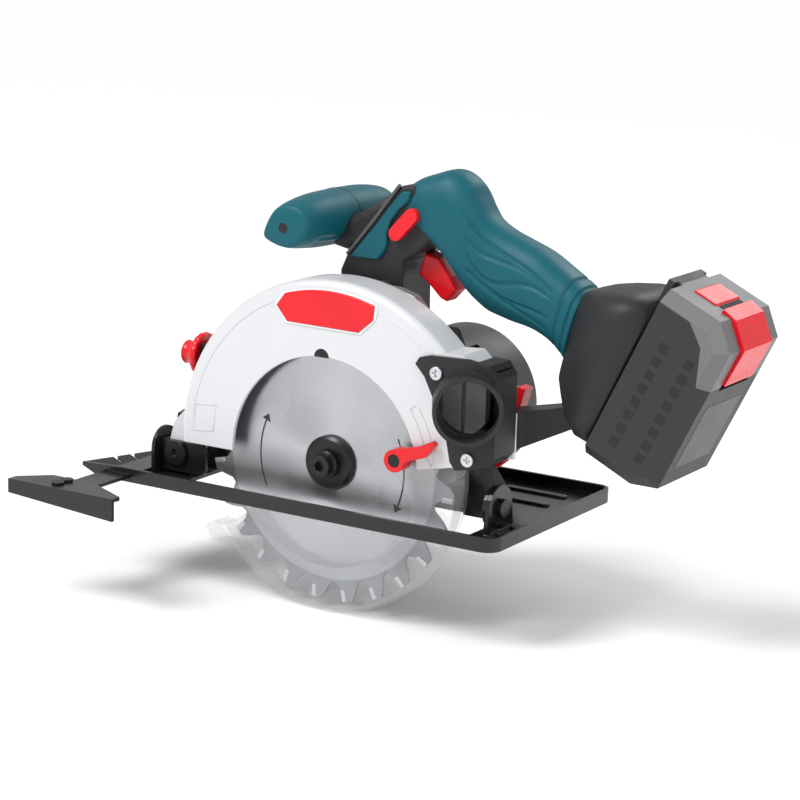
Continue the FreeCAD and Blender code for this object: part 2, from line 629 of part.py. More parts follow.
def upper_guard():
    face, back = -size("guard_face"), size("guard_back")
    skin = size("guard_wall")
    outer = slab_xz(guard_outline(0), face, back)
    front_edges = at_level("y", face)
    outer = soften(outer, size("guard_round"), lambda e: front_edges(e) and e.BoundBox.ZMax > 45 and
                   e.BoundBox.XMax < 84)
    hollow = slab_xz(guard_outline(skin), face + skin, back - 3.0)
    open_bottom = slab_xz([(-101 + skin, 20), (-101 + skin, 30), (96, 60), (96, 20)], face + skin, back - 3.0)
    shape = outer.cut([hollow, open_bottom])
    shape = shape.cut(rod_y(size("guard_opening"), arbor[0], arbor[1], face - 1, face + skin + 0.5))
    shape = shape.cut(slab_xz([(-62.9, 0), (-62.9, 27.5), (70, 27.5), (70, 0)], face - 1, face + skin + 0.5))
    shape = shape.cut(slab_xz([(50, 22), (56, 52.5), (60, 34.5), (60, 22)], face - 1, face + skin + 0.5))
    shape = shape.cut(rod_y(size("nose_radius") + 4.5, arbor[0], arbor[1], back - 4, back + 1))
    shape = shape.cut(block((-20, back - 4, 0), (20, back + 1, arbor[1])))
    lug_low = wall + gap
    lug_high = wall + size("bracket_inner") - gap
    root = (pivot[0] + 9, arbor[1] + 14)
    lug = rod_y(size("lug_radius"), pivot[0], pivot[1], lug_low, lug_high)
    neck = slab_xz([(pivot[0] - size("lug_radius"), pivot[1]), (pivot[0] + size("lug_radius"), pivot[1]),
                    (root[0] + 14, root[1]), (root[0] - 6, root[1]), (pivot[0] - 4, pivot[1] + 18)],
                   lug_low, lug_high)
    room = rod_y(size("lower_outer") + 3, arbor[0], arbor[1], face + skin, back - 3.0)
    shape = shape.fuse(lug.fuse(neck).cut(room))
    shape = shape.cut(rod_y(size("pivot_radius") + run, pivot[0], pivot[1], lug_low - 1, lug_high + 1))
    tab = slab_xz([(90, 42), (112, 44), (112, 70), (90, 70)], back - 3, back)
    shape = shape.fuse(tab)
    window = Part.makeCylinder(size("port_bore"), 60, port_point(60), port_axis())
    shape = shape.cut(window.common(block((60, face - 2, 40), (130, back - 4, 120))))
    shape = shape.cut(port_shell().common(block((60, face, 30), (130, back, 120))))
    shape = shape.cut(rod_y(size("clamp_radius"), size("clamp_x"), size("clamp_z"), back - 5, back + 1))
    for x, z in PORT_SCREWS:
        shape = shape.cut(rod_y(1.8, x, z, face - 1, face + skin + 0.1))
    made("upper_guard", shape)
    pocket_face = face - 0.01
    badge = badge_outline()
    plaque = slab_xz(badge, face - 1.4, pocket_face + 0.01)
    made("guard_badge", soften(plaque, 0.8, at_level("y", face - 1.4)))


def badge_outline():
    """Shield shape on the guard's face, its top edge following the rim."""
    centre = (size("guard_shift_x"), arbor[1] + size("guard_shift_z"))
    top = [polar(size("guard_outer") - 5.8, 108 - 36 * i / 12, centre) for i in range(13)]
    return [(-33.5, 116.5), (-26, 107.8), (22.5, 107.3), (32, 115.5)] + list(reversed(top))


PORT_SCREWS = [(75.1, 91.9), (96.7, 46.0)]
case_screws = []


def port_shell():
    """The outside of the dust port: its flange, its box behind and its round nozzle."""
    face = -size("guard_face")
    flange = [(61, 95.3), (63.5, 99.2), (69.7, 101.0), (95, 102.0), (108, 100), (113, 93), (113, 49),
              (108, 43.5), (100.5, 41), (88.5, 38.8), (85, 43), (82, 56.5), (77.5, 68.5), (67, 89)]
    plate = slab_xz(flange, face - 2.3, face)
    box = slab_xz([(98.4, 100.5), (108, 100), (113, 93), (113, 49), (108, 43.5), (100.5, 42), (98.4, 42)],
                  face - 0.1, size("guard_back") - 3.4)
    nozzle = Part.makeCylinder(size("port_bore") + size("port_wall"), 24, port_point(24), port_axis())
    nozzle = nozzle.common(block((60, -60, 30), (140, face, 120)))
    return plate.fuse([box, nozzle])


def dust_port():
    shell = port_shell()
    bore = Part.makeCylinder(size("port_bore"), size("port_depth") + 1, port_point(size("port_depth")),
                             port_axis())
    inner = Part.makeCylinder(size("port_bore") - 1.5, 30, port_point(26), port_axis())
    rib_turn = Rotation(Vector(0, 0, 1), size("port_turn"))
    rib = Part.makeBox(1.8, 10, 2 * size("port_bore"), Vector(-3, -5, -size("port_bore")))
    rib.Placement = Placement(port_point(20), rib_turn)
    cavity = block((100.5, -size("guard_face") + 2, 46), (110.8, size("guard_back") - 5.6, 97))
    shape = shell.cut([bore, inner, cavity]).fuse(rib.common(inner))
    screws = []
    face = -size("guard_face") - 2.3
    for x, z in PORT_SCREWS:
        shape = shape.cut(rod_y(1.8, x, z, face - 1, face + 5))
        shank = rod_y(1.8, x, z, face, face + 4.4)
        head = rod_y(3.8, x, z, face - 1.6, face)
        cross = block((x - 2, face - 2, z - 0.5), (x + 2, face - 0.6, z + 0.5))
        cross = cross.fuse(block((x - 0.5, face - 2, z - 2), (x + 0.5, face - 0.6, z + 2)))
        screws.append(shank.fuse(head).cut(cross))
    made("dust_port", shape)
    case_screws.extend(screws)


# ---------------------------------------------------------------- gear case and motor

def gear_case():
    """Cast case behind the guard: the hull of the three gears, with the bearing nose."""
    low, high = size("case_front"), size("case_back")
    skin = size("gear_case_wall")
    reach = [(arbor, size("gear_teeth") * size("gear_module") / 2 + size("gear_module") + 0.6),
             (idler, size("fast_gear_teeth") * size("fast_module") / 2 + size("fast_module") + 2.0),
             (motor, 20.0)]

    def hull(extra, start, end):
        shape = None
        for centre, radius in reach:
            disc = rod_y(radius + extra, centre[0], centre[1], start, end)
            shape = disc if shape is None else shape.fuse(disc)
        middle = slab_xz([arbor, idler, motor], start, end)
        return shape.fuse(middle)

    case = hull(skin, low, high)
    ring = rod_y(size("drum_radius"), motor[0], motor[1], high - 4, high)
    back_plate = slab_xz([(-12, 92), (-12, 127), (10, 131), (31.8, 130), (42.8, 127), (49.5, 120), (58, 104),
                          (62, 84), (30, 80)], low, low + 6)
    case = case.fuse([ring, back_plate, saddle(low, high)])
    case = case.cut(hull(0, low + skin, high - size("rear_wall")))
    nose = rod_y(size("nose_radius"), arbor[0], arbor[1], 5.4, low + skin)
    case = case.fuse(nose)
    case = case.cut(rod_y(14.0, arbor[0], arbor[1], 6.4, 14.4))
    case = case.cut(rod_y(9.0, arbor[0], arbor[1], 0, low + skin + 1))
    rear = high - size("rear_wall")
    for centre, radius in ((arbor, 11.0), (idler, size("idler_seat")), (motor, size("motor_seat"))):
        case = case.cut(rod_y(radius, centre[0], centre[1], rear - 0.1, high - 1.0))
    case = case.cut(rod_y(6.0, motor[0], motor[1], rear, high + 1))
    case = case.cut(rod_y(6.0, idler[0], idler[1], low + 0.8, low + skin + 1))
    shoe_top = wall + gap
    case = case.cut(block((-40, low - 1, shoe_top - 20), (60, high + 1, shoe_top)))
    button = spindle_lock_spot()
    case = case.cut(rod_y(3.5 + run, button[0], button[1], rear - 1, high + 1))
    made("gear_housing", case)
    keeper = rod_y(23.5, arbor[0], arbor[1], 4.4, 5.4).cut(rod_y(17.5, arbor[0], arbor[1], 4, 6))
    made("guard_retainer", keeper)

    rear_boss = size("drum_back")
    shaft = size("shaft_radius") + run
    made("ball_bearings", solids([
        rod_y(14.0, *arbor, 6.4, 14.4).cut(rod_y(size("arbor_radius") + run, *arbor, 6, 15)),
        rod_y(11.0, *arbor, rear, high - 1.0).cut(rod_y(4.0 + run, *arbor, rear - 1, high)),
        rod_y(6.0, *idler, low + 0.8, low + skin).cut(rod_y(3.0 + run, *idler, low, low + 4)),
        rod_y(size("idler_seat"), *idler, rear, high - 1.0).cut(rod_y(3.0 + run, *idler, rear - 1, high)),
        rod_y(size("motor_seat"), *motor, rear, high - 1.0).cut(rod_y(shaft, *motor, rear - 1, high)),
        rod_y(11.0, *motor, rear_boss, rear_boss + 4.5).cut(rod_y(shaft, *motor, rear_boss - 1, rear_boss + 6))]))


def saddle(low, high):
    """The seat under the handle, on the gear case and on the motor drum."""
    return slab_xz([(-11, 82), (-11, size("handle_seat")), (26, size("handle_seat")), (52, 90), (32, 80)],
                   low, high)


def spindle_lock_spot():
    """The lock pin enters the spindle gear's web, low on the motor side."""
    return (arbor[0] - 15.0, arbor[1] + 2.0)


def spindle_lock():
    x, z = spindle_lock_spot()
    high = size("case_back")
    cap_low = high + size("lock_pin_travel") + 0.3
    pin = rod_y(3.5, x, z, high - 8.4, cap_low)
    cap = rod_y(6.5, x, z, cap_low, cap_low + 5)
    made("spindle_lock_button", pin.fuse(cap))


def motor_case():
    front, back = size("case_back"), size("drum_back")
    radius, skin = size("drum_radius"), size("case_wall")
    drum = rod_y(radius, *motor, front, back).fuse(saddle(front, front + 17))
    drum = drum.cut(rod_y(radius - skin, *motor, front - 1, back + 1))
    cradle = rod_y(radius - skin + 0.5, *motor, size("stator_front"), size("stator_front") + 26)
    cradle = cradle.cut(rod_y(size("stator_outer"), *motor, front, back))
    keeps = []
    for turn in (0, 90, 180, 270):
        x, z = polar(radius - 6, turn + 45, motor)
        keeps.append(rod_y(6.5, x, z, front, back))
    ribs = cradle.common(Part.makeCompound(keeps))
    drum = drum.fuse(ribs)
    for turn in range(-60, 61, 12):
        x, z = polar(radius, turn, motor)
        slot = Part.makeBox(8, 22, 2.6, Vector(-4, 0, -1.3))
        slot.Placement = Placement(Vector(x, front + 4, z), Rotation(Vector(0, 1, 0), -turn))
        drum = drum.cut(slot)
    made("motor_housing", drum)
    cap = rod_y(radius, *motor, back, back + size("cap_length"))
    cap = soften(cap, 3.0, at_level("y", back + size("cap_length")))
    cap = cap.cut(rod_y(radius - skin, *motor, back - 1, back + size("cap_length") - skin))
    boss = rod_y(14.0, *motor, back, back + size("cap_length") - 1).cut(
        rod_y(11.0, *motor, back - 1, back + 5))
    cap = cap.fuse(boss)
    for turn in range(0, 360, 30):
        x, z = polar(28, turn, motor)
        slot = Part.makeBox(17, 20, 3, Vector(-8.5, -10, -1.5))
        slot.Placement = Placement(Vector(x, back + 5, z), Rotation(Vector(0, 1, 0), -turn))
        cap = cap.cut(slot)
    made("motor_cap", cap)


def motor_parts():
    start = size("stator_front")
    end = start + size("stator_length")
    outer, inner = size("stator_outer"), size("stator_inner")
    ring = rod_y(outer, *motor, start, end).cut(rod_y(outer - 5, *motor, start - 1, end + 1))
    teeth, coils = [], []
    for turn in range(0, 360, 60):
        tooth = block((inner + 0.5, start, -3.5), (outer - 4, end, 3.5))
        shoe = block((inner + 0.5, start, -7.5), (inner + 3, end, 7.5))
        coil = block((inner + 3.3, start - 4, -7.2), (outer - 5.3, end + 4, 7.2))
        coil = coil.cut(block((inner, start - 0.2, -3.6), (outer, end + 0.2, 3.6)))
        for shape, group in ((tooth.fuse(shoe), teeth), (coil, coils)):
            shape.rotate(Vector(0, 0, 0), Vector(0, 1, 0), turn)
            shape.translate(Vector(motor[0], 0, motor[1]))
            group.append(shape)
    limit = rod_y(outer - 5.1, *motor, start - 5, end + 5)
    made("stator", ring.fuse(teeth))
    made("stator_windings", solids([coil.common(limit) for coil in coils]))
    core = rod_y(inner - 0.6, *motor, start, end).cut(rod_y(size("shaft_radius"), *motor, start - 1, end + 1))
    made("rotor_core", core)
    hub = rod_y(9, *motor, 46, 50).cut(rod_y(size("shaft_radius"), *motor, 45, 51))
    disc = rod_y(32, *motor, 46, 47.4).cut(rod_y(8, *motor, 45, 48))
    vanes = []
    for turn in range(0, 360, 30):
        vane = block((11, 47.2, -0.8), (31, 49.6, 0.8))
        vane.rotate(Vector(0, 0, 0), Vector(0, 1, 0), turn)
        vane.translate(Vector(motor[0], 0, motor[1]))
        vanes.append(vane)
    made("cooling_fan", hub.fuse([disc] + vanes))


# ---------------------------------------------------------------- gear train

def mesh_phase(teeth, other_teeth, direction, other_phase):
    """Phase of a gear that has a gap where its partner, at direction, has a tooth."""
    pitch_angle = 360.0 / teeth
    other_pitch = 360.0 / other_teeth
    offset = ((direction + 180 - other_phase) / other_pitch) % 1.0
    return direction + (0.5 + offset) * pitch_angle


def gear_train():
    low = size("case_front") + size("gear_case_wall")
    fast_low, fast_high = low + 1, low + 6
    slow_low, slow_high = low + 7.5, low + 17
    to_idler = math.degrees(math.atan2(idler[1] - arbor[1], idler[0] - arbor[0]))
    to_motor = math.degrees(math.atan2(motor[1] - idler[1], motor[0] - idler[0]))
    spindle_gear = gear(size("gear_teeth"), size("gear_module"), 0, arbor, slow_low, slow_high, 9.0)
    for turn in range(0, 360, 60):
        x, z = polar(15.2, turn + 172.4, arbor)
        spindle_gear = spindle_gear.cut(rod_y(4.0, x, z, slow_low - 1, slow_high + 1))
    made("spindle_gear", spindle_gear)
    pinion_phase = mesh_phase(size("pinion_teeth"), size("gear_teeth"), to_idler + 180, 0)
    pinion = gear(size("pinion_teeth"), size("gear_module"), pinion_phase, idler, slow_low, slow_high, 1.0)
    big = gear(size("fast_gear_teeth"), size("fast_module"), 0, idler, fast_low, fast_high, 1.0)
    collar = rod_y(6.5, *idler, fast_high, slow_low)
    axle = rod_y(3.0, *idler, size("case_front") + 1.2, size("case_back") - 1.4)
    made("idler_gear", pinion.fuse([big, collar, axle]))
    motor_phase = mesh_phase(size("fast_pinion_teeth"), size("fast_gear_teeth"), to_motor + 180, 0)
    small = gear(size("fast_pinion_teeth"), size("fast_module"), motor_phase, motor, fast_low, fast_high, 1.0)
    core = rod_y(3.8, *motor, fast_low, size("case_back") - size("rear_wall"))
    shaft = rod_y(size("shaft_radius"), *motor, size("case_back") - size("rear_wall"), size("drum_back") + 4.3)
    made("motor_shaft", small.fuse([core, shaft]))


def turned_parts():
    """Shafts, flanges and the blade bolt, turned about their axes."""
    turned("spindle", [("0", "blade_plate - 0.75"), ("arbor_radius", "blade_plate - 0.75"),
                       ("arbor_radius", "14.4"), ("9", "14.4"), ("9", "case_back - rear_wall"),
                       ("4", "case_back - rear_wall"), ("4", "case_back - 1.4"), ("0", "case_back - 1.4")])
    turned("inner_flange", [("arbor_radius", "0.75"), ("flange_radius", "0.75"), ("flange_radius", "3"),
                            ("10", "flange_thickness"), ("arbor_radius", "flange_thickness")])
    turned("outer_flange", [("5", "- 0.75"), ("flange_radius", "- 0.75"), ("flange_radius", "- 3.2"),
                            ("flange_radius - 2", "- 4.6"), ("5", "- 4.6")])
    turned("blade_bolt", [("0", "0.75"), ("5", "0.75"), ("5", "- 4.6"), ("8.2", "- 4.6"), ("8.2", "- 7.6"),
                          ("7.4", "- 8.4"), ("6.4", "- 8.4"), ("6.4", "- 13.4"), ("3", "- 13.4"),
                          ("3", "- 10"), ("0", "- 10")])


def saw_blade():
    """Disc with a polar pattern of gullets; the carbide tips are separate pieces."""
    radius = size("blade_diameter") / 2
    body = doc.addObject("PartDesign::Body", "saw_blade")
    disc = sketch_on(body, "XZ_Plane", "blade_disc")
    rim = disc.addGeometry(Part.Circle(Vector(), Vector(0, 0, 1), radius - 0.2), False)
    index = disc.addConstraint(Sketcher.Constraint("Diameter", rim, 2 * radius - 0.4))
    disc.setExpression("Constraints[%d]" % index, "Sizes.blade_diameter - 0.4")
    disc.addConstraint(Sketcher.Constraint("Coincident", rim, 3, -1, 1))
    hole = disc.addGeometry(Part.Circle(Vector(), Vector(0, 0, 1), size("bore_diameter") / 4), False)
    index = disc.addConstraint(Sketcher.Constraint("Radius", hole, size("arbor_radius") - 1))
    disc.setExpression("Constraints[%d]" % index, "Sizes.arbor_radius - 1")
    disc.addConstraint(Sketcher.Constraint("Coincident", hole, 3, -1, 1))
    pad(body, disc, "blade_plate")
    gullet = sketch_on(body, "XZ_Plane", "blade_gullet")
    depth = size("gullet_depth")
    first = TIP_ANGLE
    corners = [polar(radius - 0.2 + 3, first + 2.0), polar(radius - 0.2, first + 2.0),
               polar(radius - 7.2, first + 1.6), polar(radius - 7.2, first - 0.6),
               polar(radius - 9.2, first - 0.9), polar(radius - depth, first - 3.4),
               polar(radius - depth + 1.2, first - 6.0), polar(radius - 4.5, first - 8.6),
               polar(radius + 3, first - 12.2)]
    count = len(corners)
    lines = [gullet.addGeometry(Part.LineSegment(Vector(*corners[i]), Vector(*corners[(i + 1) % count])),
                                False) for i in range(count)]
    for i in range(count):
        gullet.addConstraint(Sketcher.Constraint("Coincident", lines[i], 2, lines[(i + 1) % count], 1))
    pocket(body, gullet, "blade_plate", reverse=True)
    cut = body.Tip
    teeth = body.newObject("PartDesign::PolarPattern", "blade_teeth")
    teeth.Originals = [cut]
    teeth.Axis = (disc, ["N_Axis"])
    teeth.Angle = 360
    teeth.Occurrences = 24
    body.Tip = teeth
    place(body, STRAIGHT, y="blade_plate - 0.75", z="arbor_rise")
    doc.recompute()
    keep(body, "saw_blade")
    half = size("kerf") / 2
    tips = []
    for tooth in range(24):
        angle = TIP_ANGLE + 15 * tooth
        outline = [polar(radius, angle, arbor), polar(radius - 0.2, angle + 2.0, arbor),
                   polar(radius - 7.2, angle + 1.6, arbor), polar(radius - 7.2, angle - 0.6, arbor)]
        tips.append(slab_xz(outline, -half, half))
    made("blade_tips", solids(tips))


TIP_ANGLE = 7.08


# ---------------------------------------------------------------- lower guard

def sector(inner, outer, start, stop, low, high):
    """A flat ring sector around the arbor."""
    steps = max(6, int(abs(stop - start) / 5))
    angles = [start + (stop - start) * i / steps for i in range(steps + 1)]
    wedge_outer = [polar(outer * 1.6, angle, arbor) for angle in angles]
    wedge = slab_xz([arbor] + wedge_outer, low, high)
    ring = rod_y(outer, *arbor, low, high).cut(rod_y(inner, *arbor, low - 1, high + 1))
    return ring.common(wedge)


def lower_guard():
    """Clear guard: two walls, a rim and a hub that turns on the gear case's nose."""
    outer, inner = size("lower_outer"), size("lower_inner")
    half, skin = size("lower_half"), size("lower_wall")
    start, stop = -146.0, 14.0
    near = sector(inner, outer, start, stop, -half, -half + skin)
    far = sector(hub_bore(), outer, start, stop, half - skin, half)
    rim = sector(outer - skin, outer, start, stop, -half, half)
    hub = rod_y(size("hub_outer"), *arbor, half - skin, half + 1.4)
    shape = near.fuse([far, rim, hub])
    lug_x, lug_z = polar(size("lever_radius"), size("lever_angle"), arbor)
    lug = rod_y(7.5, lug_x, lug_z, -half, -half + skin)
    web = slab_xz([(lug_x - 7, lug_z - 4), (lug_x + 3, lug_z + 7), polar(inner + 3, 13, arbor),
                   polar(inner + 3, -18, arbor)], -half, -half + skin)
    shape = shape.fuse([lug, web])
    nose = [polar(outer - 0.6, -146, arbor), polar(outer + 4, -149, arbor), (-84.5, arbor[1] - 50),
            (-78, arbor[1] - 59), (-66, arbor[1] - 59.5), polar(outer - 3, -133, arbor)]
    lip = slab_xz(nose, -half, half)
    shape = shape.fuse(lip)
    shape = shape.cut(rod_y(hub_bore(), *arbor, -1, half + 3))
    shape = shape.cut(rod_y(2.0, lug_x, lug_z, -half - 1, -half + skin + 1))
    made("lower_guard", shape)

    bolt_face = -16.4
    boss = rod_y(6.5, lug_x, lug_z, bolt_face, -half)
    tip = polar(81.5, 16.9, arbor)
    side = math.radians(24)
    shift = (-3.6 * math.sin(side), 3.6 * math.cos(side))
    arm = slab_xz([(lug_x - 0.6 * shift[0] - 2, lug_z - 5.5), (lug_x + 10, lug_z + 1.5), (lug_x + 20, lug_z + 5),
                   (tip[0] - 2, tip[1] - 1.5), (tip[0], tip[1] + 1.5), (tip[0] - 2, tip[1] + 3.4),
                   (lug_x + 16, lug_z + 10.6), (lug_x - 1, lug_z + 6.4)], bolt_face, -12.7)
    lever = boss.fuse(arm).cut(rod_y(2.0, lug_x, lug_z, -20, 0)).cut(rod_y(3.8, lug_x, lug_z, -20, -14.6))
    made("retract_lever", lever)
    shank = rod_y(2.0, lug_x, lug_z, -14.6, -half + skin)
    head = rod_y(3.7, lug_x, lug_z, bolt_face + 0.2, -14.6)
    made("lever_screw", shank.fuse(head))

    coil_radius = size("nose_radius") + 2.4
    helix = Part.makeHelix(1.1, 2.2, coil_radius)
    start_point = helix.Vertexes[0].Point
    ring = Part.Wire(Part.Edge(Part.Circle(start_point, Vector(0, 1, 0), 0.45)))
    coil = Part.Wire(helix.Edges).makePipeShell([ring], True, True)
    coil.rotate(Vector(), Vector(1, 0, 0), -90)
    coil.translate(Vector(arbor[0], size("lower_half") + 2.2, arbor[1]))
    made("guard_return_spring", coil)


def hub_bore():
    return size("nose_radius") + 0.08


# ---------------------------------------------------------------- depth clamp

def depth_clamp():
    x, z = size("clamp_x"), size("clamp_z")
    radius = size("clamp_radius")
    back = size("guard_back")
    reach = size("lever_plane") + 10
    bolt = rod_y(radius, x, z, back - 3, reach).fuse(rod_y(radius + 3, x, z, back - 4.5, back - 3))
    made("depth_bolt", bolt)
    hub_low = size("arm_plane") + wall + 0.3
    plane = size("lever_plane")
    hub = rod_y(6.2, x, z, hub_low, plane + 8)
    upper = slab_xz([(x - 5, z), (x + 5, z - 4), (x + 15, z + 22), (x + 17.5, z + 31), (x + 13, z + 32),
                     (x + 9.5, z + 29.5), (x + 4, z + 32), (x, z + 28)], plane - 2, plane + 7)
    lower = slab_xz([(x - 5.5, z), (x + 5.5, z), (x + 4, z - 14), (x - 2, z - 19), (x - 6, z - 15)],
                    plane, plane + 7)
    lever = hub.fuse([upper, lower])
    made("depth_lever", lever.cut(rod_y(radius + run, x, z, 0, 100)))


# ---------------------------------------------------------------- handle

GRIP_TOP = [(14, 178), (26.5, 188), (39.5, 193.5), (50, 197), (57, 196.2), (64.5, 190.8), (69, 183.5),
            (71, 177), (77, 171.5), (86.2, 167.1), (99.1, 162.3), (112.1, 157), (125, 149), (138, 139.5)]
GRIP_UNDER = [(125.4, 103.3), (117.6, 108.5), (107.9, 112.6), (91.8, 115), (82, 117), (75.3, 120),
              (68.6, 124.5), (60, 131)]
FOOT_TOP = [(158, 139), (171, 143)]


def battery_spot(run_up, out):
    """A point in the XZ plane given along the battery's slide and outwards from its seat."""
    lean = math.radians(size("battery_lean"))
    return (size("battery_x") + run_up * math.cos(lean) + out * math.sin(lean),
            size("battery_z") + run_up * math.sin(lean) - out * math.cos(lean))


def slide_way():
    lean = math.radians(size("battery_lean"))
    return Vector(math.cos(lean), 0, math.sin(lean))


def seat_normal():
    lean = math.radians(size("battery_lean"))
    return Vector(math.sin(lean), 0, -math.cos(lean))


def grip_outline(inset):
    """Side view of the grip and the switch housing, moved inwards by inset."""
    outline = [(-14, size("handle_seat")), (-14, 131), (-11.5, 144)] + GRIP_TOP + [(141, 120)] + GRIP_UNDER
    outline += [(52, 140), (36, 147), (30, 140), (26.5, 132), (27, size("handle_seat"))]
    if not inset:
        return outline
    wire = Part.makePolygon([Vector(x, 0, z) for x, z in outline + outline[:1]])
    smaller = Part.Face(wire).makeOffset2D(-inset, 2, False, False, True)
    return [(v.Point.x, v.Point.z) for v in smaller.OuterWire.OrderedVertexes]


def foot_solid(inset):
    """The battery foot: a tapered block from the grip's end to the battery's seat."""
    mid = size("handle_mid")
    wide = size("foot_half") - inset
    slim = size("grip_half") + 2 - inset
    seat_low = battery_spot(inset, -inset)
    seat_high = battery_spot(size("battery_length") - 11 - inset, -inset)
    sections = [((131 + inset, 84 + inset), (145 + inset, 143 - inset), slim),
                ((137 + inset, 66 + inset), (160, 141 - inset), (slim + wide) / 2 + 7),
                (seat_low, seat_high, wide)]
    wires = []
    for low, high, half in sections:
        corner = min(9.0, half / 2)
        span = Vector(high[0] - low[0], 0, high[1] - low[1])
        way = Vector(span).normalize()
        start, end = Vector(low[0], mid, low[1]), Vector(high[0], mid, high[1])
        across = Vector(0, 1, 0)
        points = []
        for spot, along_way in ((start, way), (end, way * -1)):
            pair = [spot - across * (half - corner), spot + across * (half - corner)]
            outer = [spot + along_way * corner - across * half, spot + along_way * corner + across * half]
            points.append((pair, outer))
        (low_pair, low_outer), (high_pair, high_outer) = points
        ring = [low_pair[0], low_pair[1], low_outer[1], high_outer[1], high_pair[1], high_pair[0],
                high_outer[0], low_outer[0]]
        wires.append(Part.makePolygon(ring + ring[:1]))
    return Part.makeLoft(wires, True, True)


def rail_channel(slack):
    """The T-shaped rail of the battery, larger by slack for the foot's channel."""
    mid = size("handle_mid")
    long_end = size("battery_length") + 40 * bool(slack)
    shapes = []
    for half, depth_low, depth_high in ((16, -3, 0.5), (20, -7, -3)):
        points = [battery_spot(4 - slack, depth_low - slack), battery_spot(long_end, depth_low - slack),
                  battery_spot(long_end, depth_high), battery_spot(4 - slack, depth_high)]
        shapes.append(slab_xz(points, mid - half - slack, mid + half + slack))
    return shapes[0].fuse(shapes[1])


def handle_halves():
    mid = size("handle_mid")
    skin = size("case_wall")
    half = size("grip_half")
    neck_half = size("neck_half")
    grip = slab_xz(grip_outline(0), mid - half, mid + half)
    core = slab_xz(grip_outline(skin + 1), mid - half + skin, mid + half - skin)
    foot = foot_solid(0)
    foot_core = foot_solid(skin)
    neck = slab_xz([(-30, 144), (-30, 158), (-6, 166), (8, 170), (-11, 142)], mid - neck_half + 4,
                   mid + neck_half - 4)
    shell = grip.fuse([foot, neck])
    shell = shell.cut([core, foot_core])
    shell = shell.cut(rail_channel(0.3))
    shell = shell.cut(trigger_room())
    shell = shell.cut(rod(4.6, (28.5, 0, 164), (28.5, mid, 164)).common(block((0, 0, 0), (200, mid, 300))))
    shell = shell.cut(lock_off_solid(0.35))
    shell = shell.cut(rear_brace_solid(0.0))
    shell = shell.cut(aux_solid())
    shell = shell.cut(rod_y(size("drum_radius"), *motor, 0, 200))
    limit = block((-60, mid - 60, 80), (240, mid, 260))
    made("handle_left", biggest(shell.common(limit)))
    limit = block((-60, mid, 80), (240, mid + 60, 260))
    made("handle_right", biggest(shell.common(limit)))


def biggest(shape):
    return max(shape.Solids, key=lambda solid: solid.Volume)


def sleeve_pieces():
    """Soft overmould over the grip, in two halves that follow the shell."""
    mid = size("handle_mid")
    half = size("grip_half")
    thick = size("sleeve")
    wrap = [(-12, 142), (14, 178)] + GRIP_TOP[1:] + [(137, 116), (125.4, 103.3)] + GRIP_UNDER[1:]
    wrap += [(52, 140), (38, 152), (20, 142)]
    outer = slab_xz(wrap, mid - half - thick, mid + half + thick)
    blocker = slab_xz(grip_outline(0), mid - half - 0.02, mid + half + 0.02)
    room = lock_off_room()
    left = outer.cut([blocker, room]).common(block((-60, mid - 60, 80), (240, mid - half, 260)))
    right = outer.cut(blocker).common(block((-60, mid + half, 80), (240, mid + 60, 260)))
    made("grip_left", biggest(left.cut(foot_solid(0))))
    made("grip_right", biggest(right.cut(foot_solid(0))))


def lock_off_solid(slack):
    """Slanted oblong button through the left shell."""
    mid, half = size("handle_mid"), size("grip_half")
    low, high = (24.0, 159.5), (34.0, 170.5)
    start = mid - half - size("sleeve") - size("lock_off_travel") + 0.5
    end = mid - half + 6
    shapes = [rod_y(4.2 + slack, *low, start, end), rod_y(4.2 + slack, *high, start, end)]
    way = Vector(high[0] - low[0], 0, high[1] - low[1]).normalize()
    side = (way.z * (4.2 + slack), -way.x * (4.2 + slack))
    points = [(low[0] - side[0], low[1] - side[1]), (high[0] - side[0], high[1] - side[1]),
              (high[0] + side[0], high[1] + side[1]), (low[0] + side[0], low[1] + side[1])]
    return shapes[0].fuse([shapes[1], slab_xz(points, start, end)])


def lock_off_room():
    return lock_off_solid(1.2)


def trigger_room():
    mid = size("handle_mid")
    side = size("trigger_half") + 0.4
    return slab_xz([(18, 128), (28, 155), (50, 152), (72, 130), (60, 112), (30, 112)], mid - side, mid + side)


def controls():
    mid = size("handle_mid")
    side = size("trigger_half")
    finger = slab_xz([(31, 135), (38, 130.5), (46, 123), (50, 121.5), (56.5, 128.5), (52, 136), (44, 146),
                      (35, 148)], mid - side, mid + side)
    made("trigger", soften(finger, 1.6, lambda e: not along("y")(e)))
    made("lock_off_button", lock_off_solid(0))
    made("trigger_switch", block((42, mid - 6, 154), (62, mid + 6, 176)))
    board = block((-8, mid - 12, 110), (20, mid + 12, 113))
    made("driver_board", board)
    contacts = [battery_spot(20, -9.5), battery_spot(52, -9.5), battery_spot(52, -14), battery_spot(20, -14)]
    made("terminal_block", slab_xz(contacts, mid - 15, mid + 15))


def rear_brace_solid(slack):
    """Brace from the guard's rear tab up to the battery foot."""
    back = size("guard_back")
    sections = [(98.0, 43.0, 67.5, back, back + 22), (112.0, 49.0, 69.5, back + 8, back + 30),
                (147.0, 66.0, 76.0, 36.0, 52.0)]
    wires = []
    for x, low, high, near, far in sections:
        ring = [Vector(x, near - slack, low - slack), Vector(x, far + slack, low - slack),
                Vector(x, far + slack, high + slack), Vector(x, near - slack, high + slack)]
        wires.append(Part.makePolygon(ring + ring[:1]))
    return Part.makeLoft(wires, True, True)


def rear_brace():
    made("rear_brace", rear_brace_solid(0.0))


